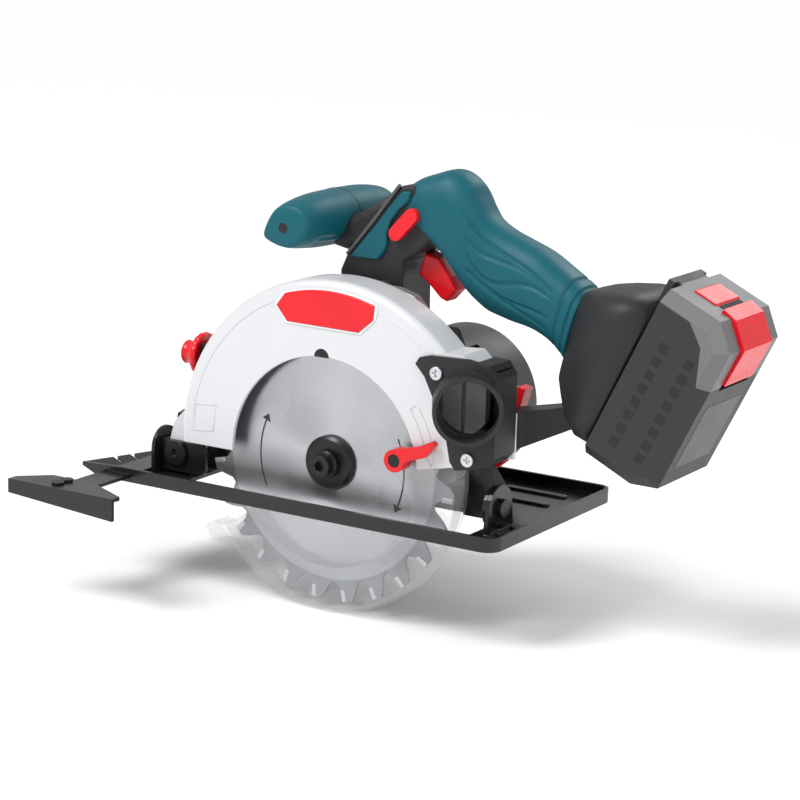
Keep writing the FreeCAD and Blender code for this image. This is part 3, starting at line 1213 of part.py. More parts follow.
def aux_solid():
    """The front handle: an oval bar across the saw, fuller at its middle."""
    mid = size("handle_mid")
    half = size("aux_length") / 2
    stations = [(-half, 12.0, 8.0, -4.0), (-half + 5, 16.5, 12.0, -3.0), (-half * 0.55, 18.5, 15.5, -0.5),
                (0, 19.0, 16.5, 0.0), (half * 0.55, 18.5, 15.5, -0.5), (half - 5, 16.5, 12.0, -3.0),
                (half, 12.0, 8.0, -4.0)]
    wires = []
    for offset, wide, tall, drop in stations:
        centre = Vector(-size("aux_x") + drop, mid + offset, size("aux_z") + drop)
        oval = Part.Ellipse(centre, wide, tall)
        edge = oval.toShape()
        edge.rotate(centre, Vector(1, 0, 0), 90)
        edge.rotate(centre, Vector(0, 1, 0), -12)
        wires.append(Part.Wire(edge))
    return Part.makeLoft(wires, True, False)


def aux_handle():
    mid = size("handle_mid")
    bar = aux_solid()
    hole = rod_y(2.6, -size("aux_x") - 3, size("aux_z") - 3, -100, mid - size("aux_length") / 2 + 8)
    near = bar.common(block((-100, mid - 60, 100), (60, mid, 220))).cut(hole)
    made("aux_handle_left", near)
    made("aux_handle_right", bar.common(block((-100, mid, 100), (60, mid + 60, 220))))


def handle_screws():
    """Screws that hold the right shell to the left one."""
    mid, half = size("handle_mid"), size("grip_half")
    screws = []
    holes = []
    for x, z in ((-4, 122), (18, 122), (104, 138)):
        screws.append(rod_y(1.6, x, z, mid + half - 2.6, mid + half + 0.4).fuse(
            rod_y(3.2, x, z, mid + half + 0.4, mid + half + 1.8)))
        holes.append(rod_y(1.6, x, z, mid, mid + half + 3))
        holes.append(rod_y(3.4, x, z, mid + half, mid + half + 6))
    for node in ("handle_right", "grip_right"):
        piece = doc.getObjectsByLabel(node)[0]
        piece.Shape = piece.Shape.cut(holes)
    made("case_screws", solids(case_screws + screws))


# ---------------------------------------------------------------- battery

def battery_block(inset):
    mid = size("handle_mid")
    length, depth, cut = size("battery_length"), size("battery_depth"), size("battery_chamfer")
    outline = [(inset - 2, inset + 0.3), (inset - 2, 31), (inset + 5, depth - inset), (length - 12, depth - inset),
               (length - inset, depth - 13), (length - inset, inset + 0.3)]
    points = [battery_spot(a, b) for a, b in outline]
    wide = size("battery_half") - inset
    shape = slab_xz(points, mid - wide, mid + wide)
    corner = cut * 0.8 - inset * (2 - math.sqrt(2))
    for level in (mid - wide, mid + wide):
        ends = at_level("y", level)
        seat = battery_spot(50, inset + 0.3)

        def off_seat(edge):
            middle = edge.CenterOfMass
            out = (middle.x - seat[0]) * seat_normal().x + (middle.z - seat[1]) * seat_normal().z
            return ends(edge) and out > 2
        shape = shape.makeChamfer(corner, [edge for edge in shape.Edges if off_seat(edge)])
    return shape


def battery():
    mid = size("handle_mid")
    case = battery_block(0).cut(battery_block(2.2))
    case = case.fuse(rail_channel(0))
    length, depth = size("battery_length"), size("battery_depth")
    split = [battery_spot(length - 7, -1), battery_spot(length + 5, -1), battery_spot(length + 5, depth + 5),
             battery_spot(length - 36, depth + 5), battery_spot(length - 36, depth - 6),
             battery_spot(length - 16, depth - 14), battery_spot(length - 7, 20)]
    head = slab_xz(split, mid - 60, mid + 60)
    button_points = [battery_spot(length - 3.5, 27), battery_spot(length + 2, 27), battery_spot(length + 0.5, 36),
                     battery_spot(length - 11, depth + 2.2), battery_spot(length - 34, depth + 1.6),
                     battery_spot(length - 34, depth - 2.5), battery_spot(length - 13, depth - 2.5),
                     battery_spot(length - 4, 34)]
    button = slab_xz(button_points, mid - 18, mid + 18)
    room = slab_xz(button_points, mid - 18.5, mid + 18.5)
    room = room.fuse(room.translated(slide_way() * -4.0)).fuse(room.translated(slide_way() * 1.5))
    case = case.cut(room)
    band = case.common(head)
    made("battery_band", solids([solid for solid in band.Solids if solid.Volume > 50]))
    made("battery_case", biggest(case.cut(head)))
    made("battery_button", button)
    cells = []
    for column in range(5):
        for layer in range(2):
            a = 13.5 + size("cell_pitch") * column
            x, z = battery_spot(a, 12.6 + size("cell_pitch") * layer * 0.99)
            cells.append(rod_y(size("cell_radius"), x, z, mid - size("cell_length") / 2,
                               mid + size("cell_length") / 2))
    made("battery_cells", solids(cells))


# ---------------------------------------------------------------- build, check and write

shoe_plate()
shoe_supports()
shoe_pins()
bevel_bolt()
bevel_knob()
parallel_guide()
guide_clamp()
front_bracket()
depth_pivot()
rear_bracket()
upper_guard()
dust_port()
gear_case()
spindle_lock()
motor_case()
motor_parts()
gear_train()
turned_parts()
saw_blade()
lower_guard()
depth_clamp()
handle_halves()
sleeve_pieces()
controls()
rear_brace()
aux_handle()
handle_screws()
battery()
for obj in parts:
    set_down(obj)
doc.recompute()

for obj in doc.Objects:
    if "Invalid" in obj.State or "Error" in obj.State:
        raise ValueError("failed feature: " + obj.Label)
os.makedirs("parts", exist_ok=True)
for obj in parts:
    if obj.Shape.isNull() or not obj.Shape.isValid():
        raise ValueError("bad shape: " + obj.Label)
    obj.Shape.exportStep("parts/%s.step" % obj.Label)
print(len(parts), "nodes")
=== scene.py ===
import json
import math

import bpy
from mathutils import Matrix, Vector


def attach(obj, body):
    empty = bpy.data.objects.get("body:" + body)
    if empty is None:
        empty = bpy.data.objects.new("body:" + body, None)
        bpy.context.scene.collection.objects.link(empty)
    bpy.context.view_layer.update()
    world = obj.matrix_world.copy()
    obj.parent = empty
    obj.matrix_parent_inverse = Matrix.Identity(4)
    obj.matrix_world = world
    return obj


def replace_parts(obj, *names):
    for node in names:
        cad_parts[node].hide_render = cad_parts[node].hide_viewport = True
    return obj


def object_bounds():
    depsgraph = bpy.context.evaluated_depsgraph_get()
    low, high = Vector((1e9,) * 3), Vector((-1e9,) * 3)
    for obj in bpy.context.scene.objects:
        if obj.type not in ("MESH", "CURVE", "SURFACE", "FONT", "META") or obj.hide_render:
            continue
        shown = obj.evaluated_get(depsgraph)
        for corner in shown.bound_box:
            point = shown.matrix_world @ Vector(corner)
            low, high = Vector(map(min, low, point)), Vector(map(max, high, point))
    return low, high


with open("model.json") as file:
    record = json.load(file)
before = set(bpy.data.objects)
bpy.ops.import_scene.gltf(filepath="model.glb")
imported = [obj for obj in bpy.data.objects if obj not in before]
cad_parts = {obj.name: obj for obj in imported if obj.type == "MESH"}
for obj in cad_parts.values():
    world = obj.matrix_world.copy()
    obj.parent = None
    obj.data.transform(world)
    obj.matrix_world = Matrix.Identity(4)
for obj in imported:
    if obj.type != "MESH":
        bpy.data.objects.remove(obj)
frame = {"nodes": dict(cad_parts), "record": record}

# Looks of the cordless circular saw. Places are in millimetres, with Y from the blade's middle
# plane as in the part's own source; INSET carries them to the row's origin on the sole.

CAD_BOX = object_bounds()
NODES = frame["nodes"]
MM = 0.001
INSET = Vector((0.0, 19.0, 0.0))

ARBOR = (0.0, 27.0)
MIDDLE = 44.0                       # the middle plane of the handle and the battery, along Y
GUARD_FACE = -9.7
GUARD_CENTRE = (2.5, 30.5)
GUARD_OUTER = 104.0
BLADE_FACE = -0.75
TENSION_BAND = (69.1, 69.6)         # radii between which the blade's outer band turns darker
LEAN = math.radians(64.5)           # the battery's slide, above horizontal
BATTERY_FOOT = (156.5, 57.0)
BATTERY_HALF = 37.5


# ---------------------------------------------------------------- materials

def mottled(tree, colour, spread, mask):
    """A mix of a darker and a lighter shade of one colour."""
    mix = tree.nodes.new("ShaderNodeMix")
    mix.data_type = "RGBA"
    mix.inputs["A"].default_value = [c * (1 - spread) for c in colour] + [1]
    mix.inputs["B"].default_value = [min(1, c * (1 + spread)) for c in colour] + [1]
    tree.links.new(mask, mix.inputs["Factor"])
    return mix.outputs["Result"]


def noise(tree, where, scale, detail=3.0, stretch=None):
    texture = tree.nodes.new("ShaderNodeTexNoise")
    texture.inputs["Scale"].default_value = scale
    texture.inputs["Detail"].default_value = detail
    if stretch:
        mapping = tree.nodes.new("ShaderNodeMapping")
        mapping.inputs["Scale"].default_value = stretch
        tree.links.new(where, mapping.inputs["Vector"])
        where = mapping.outputs["Vector"]
    tree.links.new(where, texture.inputs["Vector"])
    return texture.outputs["Fac"]


def maths(tree, operation, first, second=None):
    node = tree.nodes.new("ShaderNodeMath")
    node.operation = operation
    for socket, value in zip(node.inputs, (first, second)):
        if value is None:
            continue
        if isinstance(value, (int, float)):
            socket.default_value = value
        else:
            tree.links.new(value, socket)
    return node.outputs[0]


def ranged(tree, value, low, high, source=(0.3, 0.7)):
    node = tree.nodes.new("ShaderNodeMapRange")
    tree.links.new(value, node.inputs["Value"])
    for key, number in zip(("From Min", "From Max", "To Min", "To Max"), source + (low, high)):
        node.inputs[key].default_value = number
    return node.outputs["Result"]


def finish(name, colour, rough, metal=0.0, grain=1600.0, bump=0.12, spread=0.07, wear=0.25, coat=0.0,
           edge=0.7, worn=None, stretch=None, shine=0.5):
    """A surface with fine grain, broad mottling, uneven gloss and paler, rubbed edges."""
    mat = bpy.data.materials.new(name)
    mat.use_nodes = True
    tree = mat.node_tree
    shader = tree.nodes["Principled BSDF"]
    shader.inputs["Metallic"].default_value = metal
    shader.inputs["Specular IOR Level"].default_value = shine
    shader.inputs["Coat Weight"].default_value = coat
    shader.inputs["Coat Roughness"].default_value = 0.15
    where = tree.nodes.new("ShaderNodeTexCoord").outputs["Object"]
    fine = noise(tree, where, grain, 3, stretch)
    broad = noise(tree, where, 42.0, 4)
    base = mottled(tree, colour, spread, broad)
    rounded = tree.nodes.new("ShaderNodeBevel")
    rounded.samples = 4
    rounded.inputs["Radius"].default_value = edge * MM
    flat = tree.nodes.new("ShaderNodeNewGeometry").outputs["Normal"]
    turn = tree.nodes.new("ShaderNodeVectorMath")
    turn.operation = "DOT_PRODUCT"
    tree.links.new(rounded.outputs["Normal"], turn.inputs[0])
    tree.links.new(flat, turn.inputs[1])
    rubbed = ranged(tree, turn.outputs["Value"], wear, 0.0, (0.72, 0.97))
    rubbed = maths(tree, "MULTIPLY", rubbed, ranged(tree, broad, 0.35, 1.0))
    mix = tree.nodes.new("ShaderNodeMix")
    mix.data_type = "RGBA"
    mix.inputs["B"].default_value = list(worn or [0.8 * c + 0.12 for c in colour]) + [1]
    tree.links.new(rubbed, mix.inputs["Factor"])
    tree.links.new(base, mix.inputs["A"])
    tree.links.new(mix.outputs["Result"], shader.inputs["Base Color"])
    uneven = maths(tree, "ADD", ranged(tree, fine, -0.04, 0.04),
                   ranged(tree, broad, rough - 0.05, rough + 0.06))
    tree.links.new(uneven, shader.inputs["Roughness"])
    relief = tree.nodes.new("ShaderNodeBump")
    relief.inputs["Strength"].default_value = bump
    relief.inputs["Distance"].default_value = 0.15 * MM
    tree.links.new(fine, relief.inputs["Height"])
    tree.links.new(rounded.outputs["Normal"], relief.inputs["Normal"])
    tree.links.new(relief.outputs["Normal"], shader.inputs["Normal"])
    return mat


def blade_finish():
    """Ground steel: rings of fine scratches round the arbor, darker in the outer band."""
    mat = finish("blade_steel", (0.50, 0.51, 0.53), 0.33, metal=1.0, grain=900, bump=0.01, spread=0.03,
                 wear=0.0, edge=0.2)
    tree = mat.node_tree
    shader = tree.nodes["Principled BSDF"]
    shader.inputs["Anisotropic"].default_value = 0.85
    where = tree.nodes.new("ShaderNodeTexCoord").outputs["Object"]
    split = tree.nodes.new("ShaderNodeSeparateXYZ")
    tree.links.new(where, split.inputs[0])
    across = split.outputs["X"]
    up = maths(tree, "SUBTRACT", split.outputs["Z"], ARBOR[1] * MM)
    radius = maths(tree, "SQRT", maths(tree, "ADD", maths(tree, "MULTIPLY", across, across),
                                       maths(tree, "MULTIPLY", up, up)))
    along = tree.nodes.new("ShaderNodeCombineXYZ")
    tree.links.new(up, along.inputs["X"])
    tree.links.new(maths(tree, "MULTIPLY", across, -1.0), along.inputs["Z"])
    turned = tree.nodes.new("ShaderNodeVectorTransform")
    turned.vector_type = "VECTOR"
    turned.convert_from = "OBJECT"
    turned.convert_to = "WORLD"
    tree.links.new(along.outputs[0], turned.inputs[0])
    tree.links.new(turned.outputs[0], shader.inputs["Tangent"])
    rings = tree.nodes.new("ShaderNodeCombineXYZ")
    tree.links.new(radius, rings.inputs["X"])
    scratches = noise(tree, rings.outputs[0], 2600, 2)
    band = ranged(tree, radius, 0.0, 1.0, tuple(edge * MM for edge in TENSION_BAND))
    shade = maths(tree, "SUBTRACT", ranged(tree, scratches, 0.92, 1.06), maths(tree, "MULTIPLY", band, 0.34))
    tint = tree.nodes.new("ShaderNodeVectorMath")
    tint.operation = "SCALE"
    base = shader.inputs["Base Color"].links[0].from_socket
    tree.links.new(base, tint.inputs[0])
    tree.links.new(shade, tint.inputs["Scale"])
    tree.links.new(tint.outputs["Vector"], shader.inputs["Base Color"])
    return mat


def clear_finish():
    """Clear polycarbonate: see-through face on, denser at grazing angles, with light scuffs."""
    mat = finish("clear_guard", (0.62, 0.64, 0.66), 0.14, grain=700, bump=0.03, spread=0.03, wear=0.5,
                 edge=0.9, worn=(0.95, 0.96, 0.97))
    tree = mat.node_tree
    shader = tree.nodes["Principled BSDF"]
    facing = tree.nodes.new("ShaderNodeLayerWeight")
    facing.inputs["Blend"].default_value = 0.35
    scuffs = noise(tree, tree.nodes.new("ShaderNodeTexCoord").outputs["Object"], 260, 5)
    alpha = maths(tree, "ADD", ranged(tree, facing.outputs["Facing"], 0.07, 0.50, (0.1, 1.0)),
                  ranged(tree, scuffs, -0.02, 0.05))
    tree.links.new(alpha, shader.inputs["Alpha"])
    return mat


TEAL = (0.004, 0.098, 0.128)
RED = (0.72, 0.004, 0.012)
LOOKS = {
    "black_steel": finish("black_steel", (0.008, 0.008, 0.009), 0.28, grain=2200, bump=0.10, wear=0.16,
                          coat=0.25,
                          worn=(0.10, 0.10, 0.11), shine=0.35),
    "guard_paint": finish("guard_paint", (0.66, 0.67, 0.69), 0.34, metal=0.1, grain=1100, bump=0.05,
                          spread=0.03,
                          wear=0.3, coat=0.3, worn=(0.80, 0.81, 0.82)),
    "red_plastic": finish("red_plastic", RED, 0.30, grain=1500, bump=0.05, spread=0.10, wear=0.12,
                          coat=0.15, worn=(0.85, 0.08, 0.08), shine=0.35),
    "dark_plastic": finish("dark_plastic", (0.022, 0.022, 0.024), 0.47, grain=2600, bump=0.30, wear=0.16,
                           worn=(0.09, 0.09, 0.095), shine=0.3),
    "drum_plastic": finish("drum_plastic", (0.085, 0.087, 0.09), 0.44, grain=2600, bump=0.28, wear=0.16,
                           shine=0.3),
    "teal_rubber": finish("teal_rubber", TEAL, 0.46, grain=2300, bump=0.34, spread=0.10, wear=0.12,
                          worn=(0.02, 0.20, 0.25), shine=0.25),
    "blade_steel": blade_finish(),
    "carbide": finish("carbide", (0.62, 0.63, 0.65), 0.30, metal=1.0, grain=1800, bump=0.08, wear=0.4),
    "black_oxide": finish("black_oxide", (0.022, 0.022, 0.024), 0.34, metal=0.6, grain=1800, bump=0.12,
                          wear=0.35),
    "zinc_screw": finish("zinc_screw", (0.62, 0.63, 0.65), 0.26, metal=1.0, grain=900, bump=0.06, wear=0.2),
    "clear_guard": clear_finish(),
    "cast_alloy": finish("cast_alloy", (0.52, 0.53, 0.54), 0.48, metal=0.75, grain=1300, bump=0.35,
                         spread=0.08),
    "bright_steel": finish("bright_steel", (0.60, 0.60, 0.62), 0.26, metal=1.0, grain=700, bump=0.06,
                           stretch=(1, 12, 1)),
    "gear_steel": finish("gear_steel", (0.30, 0.30, 0.32), 0.32, metal=1.0, grain=900, bump=0.10),
    "iron_core": finish("iron_core", (0.16, 0.16, 0.17), 0.55, metal=0.7, grain=400, bump=0.40,
                        stretch=(1, 14, 1)),
    "copper": finish("copper", (0.70, 0.28, 0.12), 0.30, metal=1.0, grain=900, bump=0.40, stretch=(1, 1, 9)),
    "board_green": finish("board_green", (0.01, 0.14, 0.05), 0.40, grain=500, bump=0.20),
    "battery_grey": finish("battery_grey", (0.030, 0.030, 0.032), 0.45, grain=2600, bump=0.30, wear=0.18,
                           worn=(0.12, 0.12, 0.125), shine=0.3),
    "band_grey": finish("band_grey", (0.15, 0.153, 0.157), 0.42, grain=2600, bump=0.26, wear=0.15, shine=0.3),
    "cell_sleeve": finish("cell_sleeve", (0.03, 0.17, 0.40), 0.35, grain=800, bump=0.06),
}
# Print marks, and a near-black colour for the dark seam line and for painted shade: dark sheets filling
# holes, notches and recesses
MARKS_AND_SHADE = {
    "etched": finish("etched_mark", (0.05, 0.05, 0.055), 0.55, metal=0.4, grain=2500, bump=0.20),
    "white": finish("white_border", (0.86, 0.87, 0.88), 0.35, grain=1800, bump=0.05, spread=0.03),
    "deep": finish("dark_seam_and_painted_shade", (0.010, 0.010, 0.011), 0.70, grain=1800, bump=0.20),
}

SLOT_OF = {part["node"]: part["material_slot"] for part in frame["record"]["subparts"]}
for node, piece in NODES.items():
    look = LOOKS[SLOT_OF[node]]
    if not piece.material_slots:
        piece.data.materials.append(look)
    for holder in piece.material_slots:
        holder.material = look


# ---------------------------------------------------------------- shapes

def settle(piece, look, body):
    """Link a piece, give it its look and let it ride on one body."""
    bpy.context.scene.collection.objects.link(piece)
    piece.data.materials.append(LOOKS[look] if look in LOOKS else MARKS_AND_SHADE[look])
    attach(piece, body)
    return piece


def add(name, points, faces, look, body, smooth=True):
    """A mesh piece from corners in millimetres, riding on one body."""
    mesh = bpy.data.meshes.new(name)
    mesh.from_pydata([(Vector(p) + INSET) * MM for p in points], [], faces)
    mesh.validate()
    mesh.update()
    for face in mesh.polygons:
        face.use_smooth = smooth
    return settle(bpy.data.objects.new(name, mesh), look, body)


def softened(piece, width, segments=3, angle=28):
    """Round the sharp edges of a piece."""
    bevel = piece.modifiers.new("rounded", "BEVEL")
    bevel.width = width * MM
    bevel.segments = segments
    bevel.limit_method = "ANGLE"
    bevel.angle_limit = math.radians(angle)
    bevel.harden_normals = True
    return piece


def loft(name, rings, look, body, smooth=True):
    """A closed skin through rings of equal count, capped at both ends."""
    count = len(rings[0])
    points = [p for ring in rings for p in ring]
    faces = []
    for level in range(len(rings) - 1):
        for i in range(count):
            j = (i + 1) % count
            faces.append((level * count + i, level * count + j,
                          (level + 1) * count + j, (level + 1) * count + i))
    faces.append(tuple(reversed(range(count))))
    faces.append(tuple(range((len(rings) - 1) * count, len(rings) * count)))
    return add(name, points, faces, look, body, smooth)


def prism(name, outline, low, high, look, body, rounding=0.0, place=None):
    """An outline in the XZ plane, or in the plane that place gives, drawn out from low to high along Y."""
    spots = [place(u, v) if place else (u, v) for u, v in outline]
    count = len(spots)
    points = [(x, low, z) for x, z in spots] + [(x, high, z) for x, z in spots]
    faces = [tuple(range(count)), tuple(range(2 * count - 1, count - 1, -1))]
    faces += [(i, i + count, (i + 1) % count + count, (i + 1) % count) for i in range(count)]
    area = sum(spots[i][0] * spots[(i + 1) % count][1] - spots[(i + 1) % count][0] * spots[i][1]
               for i in range(count))
    if area < 0:
        faces = [tuple(reversed(face)) for face in faces]
    piece = add(name, points, faces, look, body, smooth=False)
    return softened(piece, rounding) if rounding else piece


def line(name, points, radius, look, body, closed=False):
    """A thin raised line through points in millimetres."""
    curve = bpy.data.curves.new(name, "CURVE")
    curve.dimensions = "3D"
    curve.bevel_depth = radius * MM
    curve.bevel_resolution = 3
    spline = curve.splines.new("POLY")
    spline.points.add(len(points) - 1)
    for spot, place in zip(spline.points, points):
        spot.co = (*((Vector(place) + INSET) * MM), 1)
    spline.use_cyclic_u = closed
    return settle(bpy.data.objects.new(name, curve), look, body)


def smooth_path(stations, steps):
    """Catmull-Rom points through rows of numbers, steps between each pair."""
    rows = [stations[0]] + list(stations) + [stations[-1]]
    path = []
    for k in range(1, len(rows) - 2):
        for step in range(steps):
            t = step / steps
            path.append([0.5 * (2 * b + (c - a) * t + (2 * a - 5 * b + 4 * c - d) * t * t
                                + (3 * b - a - 3 * c + d) * t ** 3)
                         for a, b, c, d in zip(rows[k - 1], rows[k], rows[k + 1], rows[k + 2])])
    path.append(list(stations[-1]))
    return path


def polar(radius, degrees, centre=ARBOR):
    angle = math.radians(degrees)
    return (centre[0] + radius * math.cos(angle), centre[1] + radius * math.sin(angle))


def on_battery(run_up, out):
    """A point in the XZ plane: run_up along the battery's slide, out away from its seat."""
    return (BATTERY_FOOT[0] + run_up * math.cos(LEAN) + out * math.sin(LEAN),
            BATTERY_FOOT[1] + run_up * math.sin(LEAN) - out * math.cos(LEAN))


def curl(power, angle):
    """One coordinate pair of a superellipse."""
    c, s = math.cos(angle), math.sin(angle)
    return (math.copysign(abs(c) ** (2 / power), c), math.copysign(abs(s) ** (2 / power), s))


# ---------------------------------------------------------------- grip

# Along the grip: top x, top z, bottom x, bottom z, half width, squareness
GRIP = [
    (23, 184, 38, 158, 17.0, 3.4), (31, 190, 48, 151, 18.2, 3.2), (40, 193.6, 55, 143, 18.8, 3.0),
    (50, 196.6, 61, 134, 19.0, 2.8), (58, 195.4, 67, 127, 19.0, 2.6), (65, 190.2, 72.5, 122.5, 18.6, 2.5),
    (70, 182, 78, 119, 18.2, 2.4), (76.5, 173, 85, 117, 17.8, 2.4), (87, 166.6, 93, 115, 17.6, 2.4),
    (99, 162, 101, 113.6, 17.6, 2.4), (112, 156.8, 109, 111.6, 17.8, 2.5),
    (125, 148.8, 117.5, 108, 18.2, 2.6), (135, 142, 125, 102.8, 18.6, 2.8),
    (141, 137.5, 130, 97.5, 18.6, 2.9),
]
# Wavy grooves on both sides: height on the side, then how far each one waves
GROOVES = ((0.46, 0.10), (0.24, 0.15), (0.02, 0.18), (-0.20, 0.16), (-0.42, 0.11))
GROOVE_SPAN = (0.34, 0.87)          # shares of the grip's length
GROOVE_HALF = 0.062
RINGS_AT = (0.90, 0.955)
DENT = 0.055                        # how far a groove draws the section in


def grip_skin():
    """The soft grip: lofted sections, with wavy grooves pressed into both sides and rings at its rear."""
    path = smooth_path(GRIP, 18)
    count = 240
    start, stop = GROOVE_SPAN
    rings = []
    for level, (tx, tz, bx, bz, half, power) in enumerate(path):
        s = level / (len(path) - 1)
        ring = []
        for i in range(count):
            angle = 2 * math.pi * i / count
            side, rise = curl(power, angle)
            dent = 0.0
            for height, wave in GROOVES:
                target = height + wave * math.sin(9 * s + 6 * height)
                near = abs(math.sin(angle) - target) / GROOVE_HALF
                if near < 1 and start < s < stop:
                    dent = max(dent, (1 - near * near) * min(1, (s - start) / 0.05, (stop - s) / 0.05))
            for ring_at in RINGS_AT:
                near = abs(s - ring_at) / 0.008
                if near < 1:
                    dent = max(dent, 1 - near * near)
            shrink = 1 - DENT * dent
            cx, cz = (tx + bx) / 2, (tz + bz) / 2
            ring.append((cx + (tx - cx) * rise * shrink, MIDDLE + half * side * shrink,
                         cz + (tz - cz) * rise * shrink))
        rings.append(ring)
    return loft("grip_skin", rings, "teal_rubber", "saw")


HOUSING = [
    (-14, 104), (-15, 120), (-15.5, 134), (-11.5, 143), (23.4, 186.2), (33, 187.2),
    (48, 160), (38, 150), (27.5, 143), (26.5, 132), (27, 104),
]
FACET = [(-2, 110), (12, 110), (22, 124), (22, 128.5), (17, 131), (-4, 131)]
SOFT_COVER = [
    (-8, 142.4), (11, 142.7), (15.0, 147.5), (17.0, 152.5), (17.2, 158.5), (19.5, 166.0), (24.6, 173.0),
    (30.5, 178.0), (32.0, 184.0), (26.6, 183.6), (24.0, 181.2), (18.7, 174.6), (9, 162.4), (-0.8, 150.9),
]
FRONT_STRIP = [
    (-9.6, 143.0), (-0.9, 153.6), (8.6, 165.2), (18.0, 177.6), (24.6, 186.4),
    (23.4, 187.6), (16.6, 179.0), (7.2, 166.8), (-2.2, 155.0), (-11.0, 144.2),
]
# Along the neck: x, z, half height, half width
NECK = [(-40, 156.5, 7.5, 11.0), (-24, 155, 9.0, 12.5), (-12, 155.5, 11.5, 14.0), (0, 160, 15.0, 15.0),
        (12, 167, 17.0, 15.0)]


def switch_housing():
    """Dark front housing with its neck, the soft side covers and the slanted front strip."""
    low, high = MIDDLE - 17, MIDDLE + 17
    body = prism("switch_housing", HOUSING, low, high, "dark_plastic", "saw", 2.4)
    prism("housing_facet", FACET, low - 1.0, high + 1.0, "dark_plastic", "saw", 0.9)
    for side, y_low, y_high in (("left", low - 2.2, low + 2), ("right", high - 2, high + 2.2)):
        prism("soft_cover_" + side, SOFT_COVER, y_low, y_high, "teal_rubber", "saw", 1.1)
        prism("front_strip_" + side, FRONT_STRIP, y_low + 1.0, y_high - 1.0, "drum_plastic", "saw", 0.4)
    neck_rings = []
    for x, z, tall, half in NECK:
        neck_rings.append([(x + 0.35 * tall * v, MIDDLE + half * u, z + tall * v)
                           for u, v in (curl(3.2, 2 * math.pi * i / 40) for i in range(40))])
    loft("handle_neck", neck_rings, "dark_plastic", "saw")
    return body


# Along the foot: lower x, z, upper x, z, half width
FOOT = [(128.5, 86, 142, 139.5, 17.6), (132.5, 78, 149, 141.5, 23.0), (138, 69, 158, 142.6, 30.0),
        (146.5, 60.5, 170, 143.2, 35.8), (155.3, 57.5, 194.4, 141.5, 37.3)]


def battery_foot():
    """The foot that widens from the grip to the battery's seat."""
    rings = []
    for lx, lz, ux, uz, half in FOOT:
        ring = []
        for i in range(56):
            side, rise = curl(5.6, 2 * math.pi * i / 56)
            cx, cz = (lx + ux) / 2, (lz + uz) / 2
            ring.append((cx + (ux - cx) * rise, MIDDLE + half * side, cz + (uz - cz) * rise))
        rings.append(ring)
    return loft("battery_foot", rings, "dark_plastic", "saw")


# Along the front handle: y, half width, half height, shift down and forward
FRONT_HANDLE = [
    (-6.0, 12.5, 9.5, -1.0), (-5.4, 14.2, 11.0, -1.0), (-3.0, 15.8, 12.4, -0.8), (6, 17.6, 14.2, -0.3),
    (22, 18.6, 15.8, 0), (44, 18.8, 16.2, 0), (66, 18.6, 15.8, 0), (82, 17.6, 14.2, -0.3),
    (90.5, 15.5, 12.2, -0.8), (93.2, 12.0, 9.0, -1.0), (94.0, 6, 4.5, -1.0),
]


def front_handle():
    """The transverse handle: a leaf-shaped section, a fuller middle and ribs underneath."""
    tilt = math.radians(24)
    rings = []
    for y, wide, tall, drop in smooth_path(FRONT_HANDLE, 10):
        ring = []
        for i in range(96):
            angle = 2 * math.pi * i / 96
            c, s = math.cos(angle), math.sin(angle)
            nose = max(0.0, -c) ** 2
            taper = 1 - 0.42 * nose
            under = max(0.0, -s - 0.35) / 0.65
            rib = -0.055 * under * (0.5 + 0.5 * math.cos(15 * c * math.pi / 2)) * (8 < y < 80)
            u, v = wide * c * (1 + rib + 0.08 * nose), tall * s * taper * (1 + rib)
            ring.append((-31 + drop + u * math.cos(tilt) - v * math.sin(tilt), y,
                         161.5 + drop + u * math.sin(tilt) + v * math.cos(tilt)))
        rings.append(ring)
    skin = loft("front_handle_skin", rings, "teal_rubber", "saw")
    ring = [(x * 1.004, y, z) for x, y, z in rings[len(rings) // 2]]
    centre = Vector((-31, ring[0][1], 161.5))
    seam = [centre + (Vector(p) - centre) * 1.001 for p in ring]
    line("front_handle_seam", seam, 0.22, "deep", "saw", True)
    hole = [polar(3.3, 15 * i, (-33, 160.0)) for i in range(24)]
    line("front_handle_hole", [(x, -5.7, z) for x, z in hole], 0.45, "teal_rubber", "saw", True)
    # A dark disc just inside the hole: painted shade in the socket
    prism("front_handle_socket_shade", hole, -6.05, -4.0, "deep", "saw")
    return skin


# ---------------------------------------------------------------- guard and blade details

def guard_details():
    """Contour lines, badge border, square mark and rotation arrow of the fixed guard, with a dark half-disc
    as painted shade in its notch.
    """
    for inset in (5.2, 8.6):
        arc = [polar(GUARD_OUTER - inset, 172 - 3.2 * i, GUARD_CENTRE) for i in range(39)]
        line("guard_contour_%d" % inset, [(x, GUARD_FACE + (0.9 if inset < 6 else 0.15), z) for x, z in arc],
             0.42, "guard_paint", "saw")
    rim = [polar(GUARD_OUTER - 5.0, 108.8 - 37.6 * i / 16, GUARD_CENTRE) for i in range(17)]
    border = [(-35.0, 117.2), (-27.0, 106.7), (23.2, 106.2), (33.4, 116.0)] + list(reversed(rim))
    prism("badge_border", border, GUARD_FACE - 0.75, GUARD_FACE + 0.4, "white", "saw", 0.3)
    square = [(-90.0, 50.0), (-75.2, 51.4), (-77.2, 35.4), (-91.6, 34.2)]
    line("guard_square", [(x, GUARD_FACE + 0.05, z) for x, z in square], 0.40, "guard_paint", "saw", True)
    outer = [polar(76, a) for a in range(36, 17, -3)]
    inner = [polar(70.5, a) for a in range(18, 37, 3)]
    head = [polar(79, 18), polar(73.2, 8.5), polar(67.5, 18)]
    arrow = outer + head + inner
    line("guard_arrow", [(x, GUARD_FACE - 0.02, z) for x, z in arrow], 0.36, "guard_paint", "saw", True)
    # A dark half-disc on the guard face: painted shade in the opening's notch
    notch_shade = [polar(5.0, 180 * i / 12, (-2.5, 89.8)) for i in range(13)]
    prism("opening_notch_shade", notch_shade, GUARD_FACE - 0.06, GUARD_FACE + 0.5, "deep", "saw")


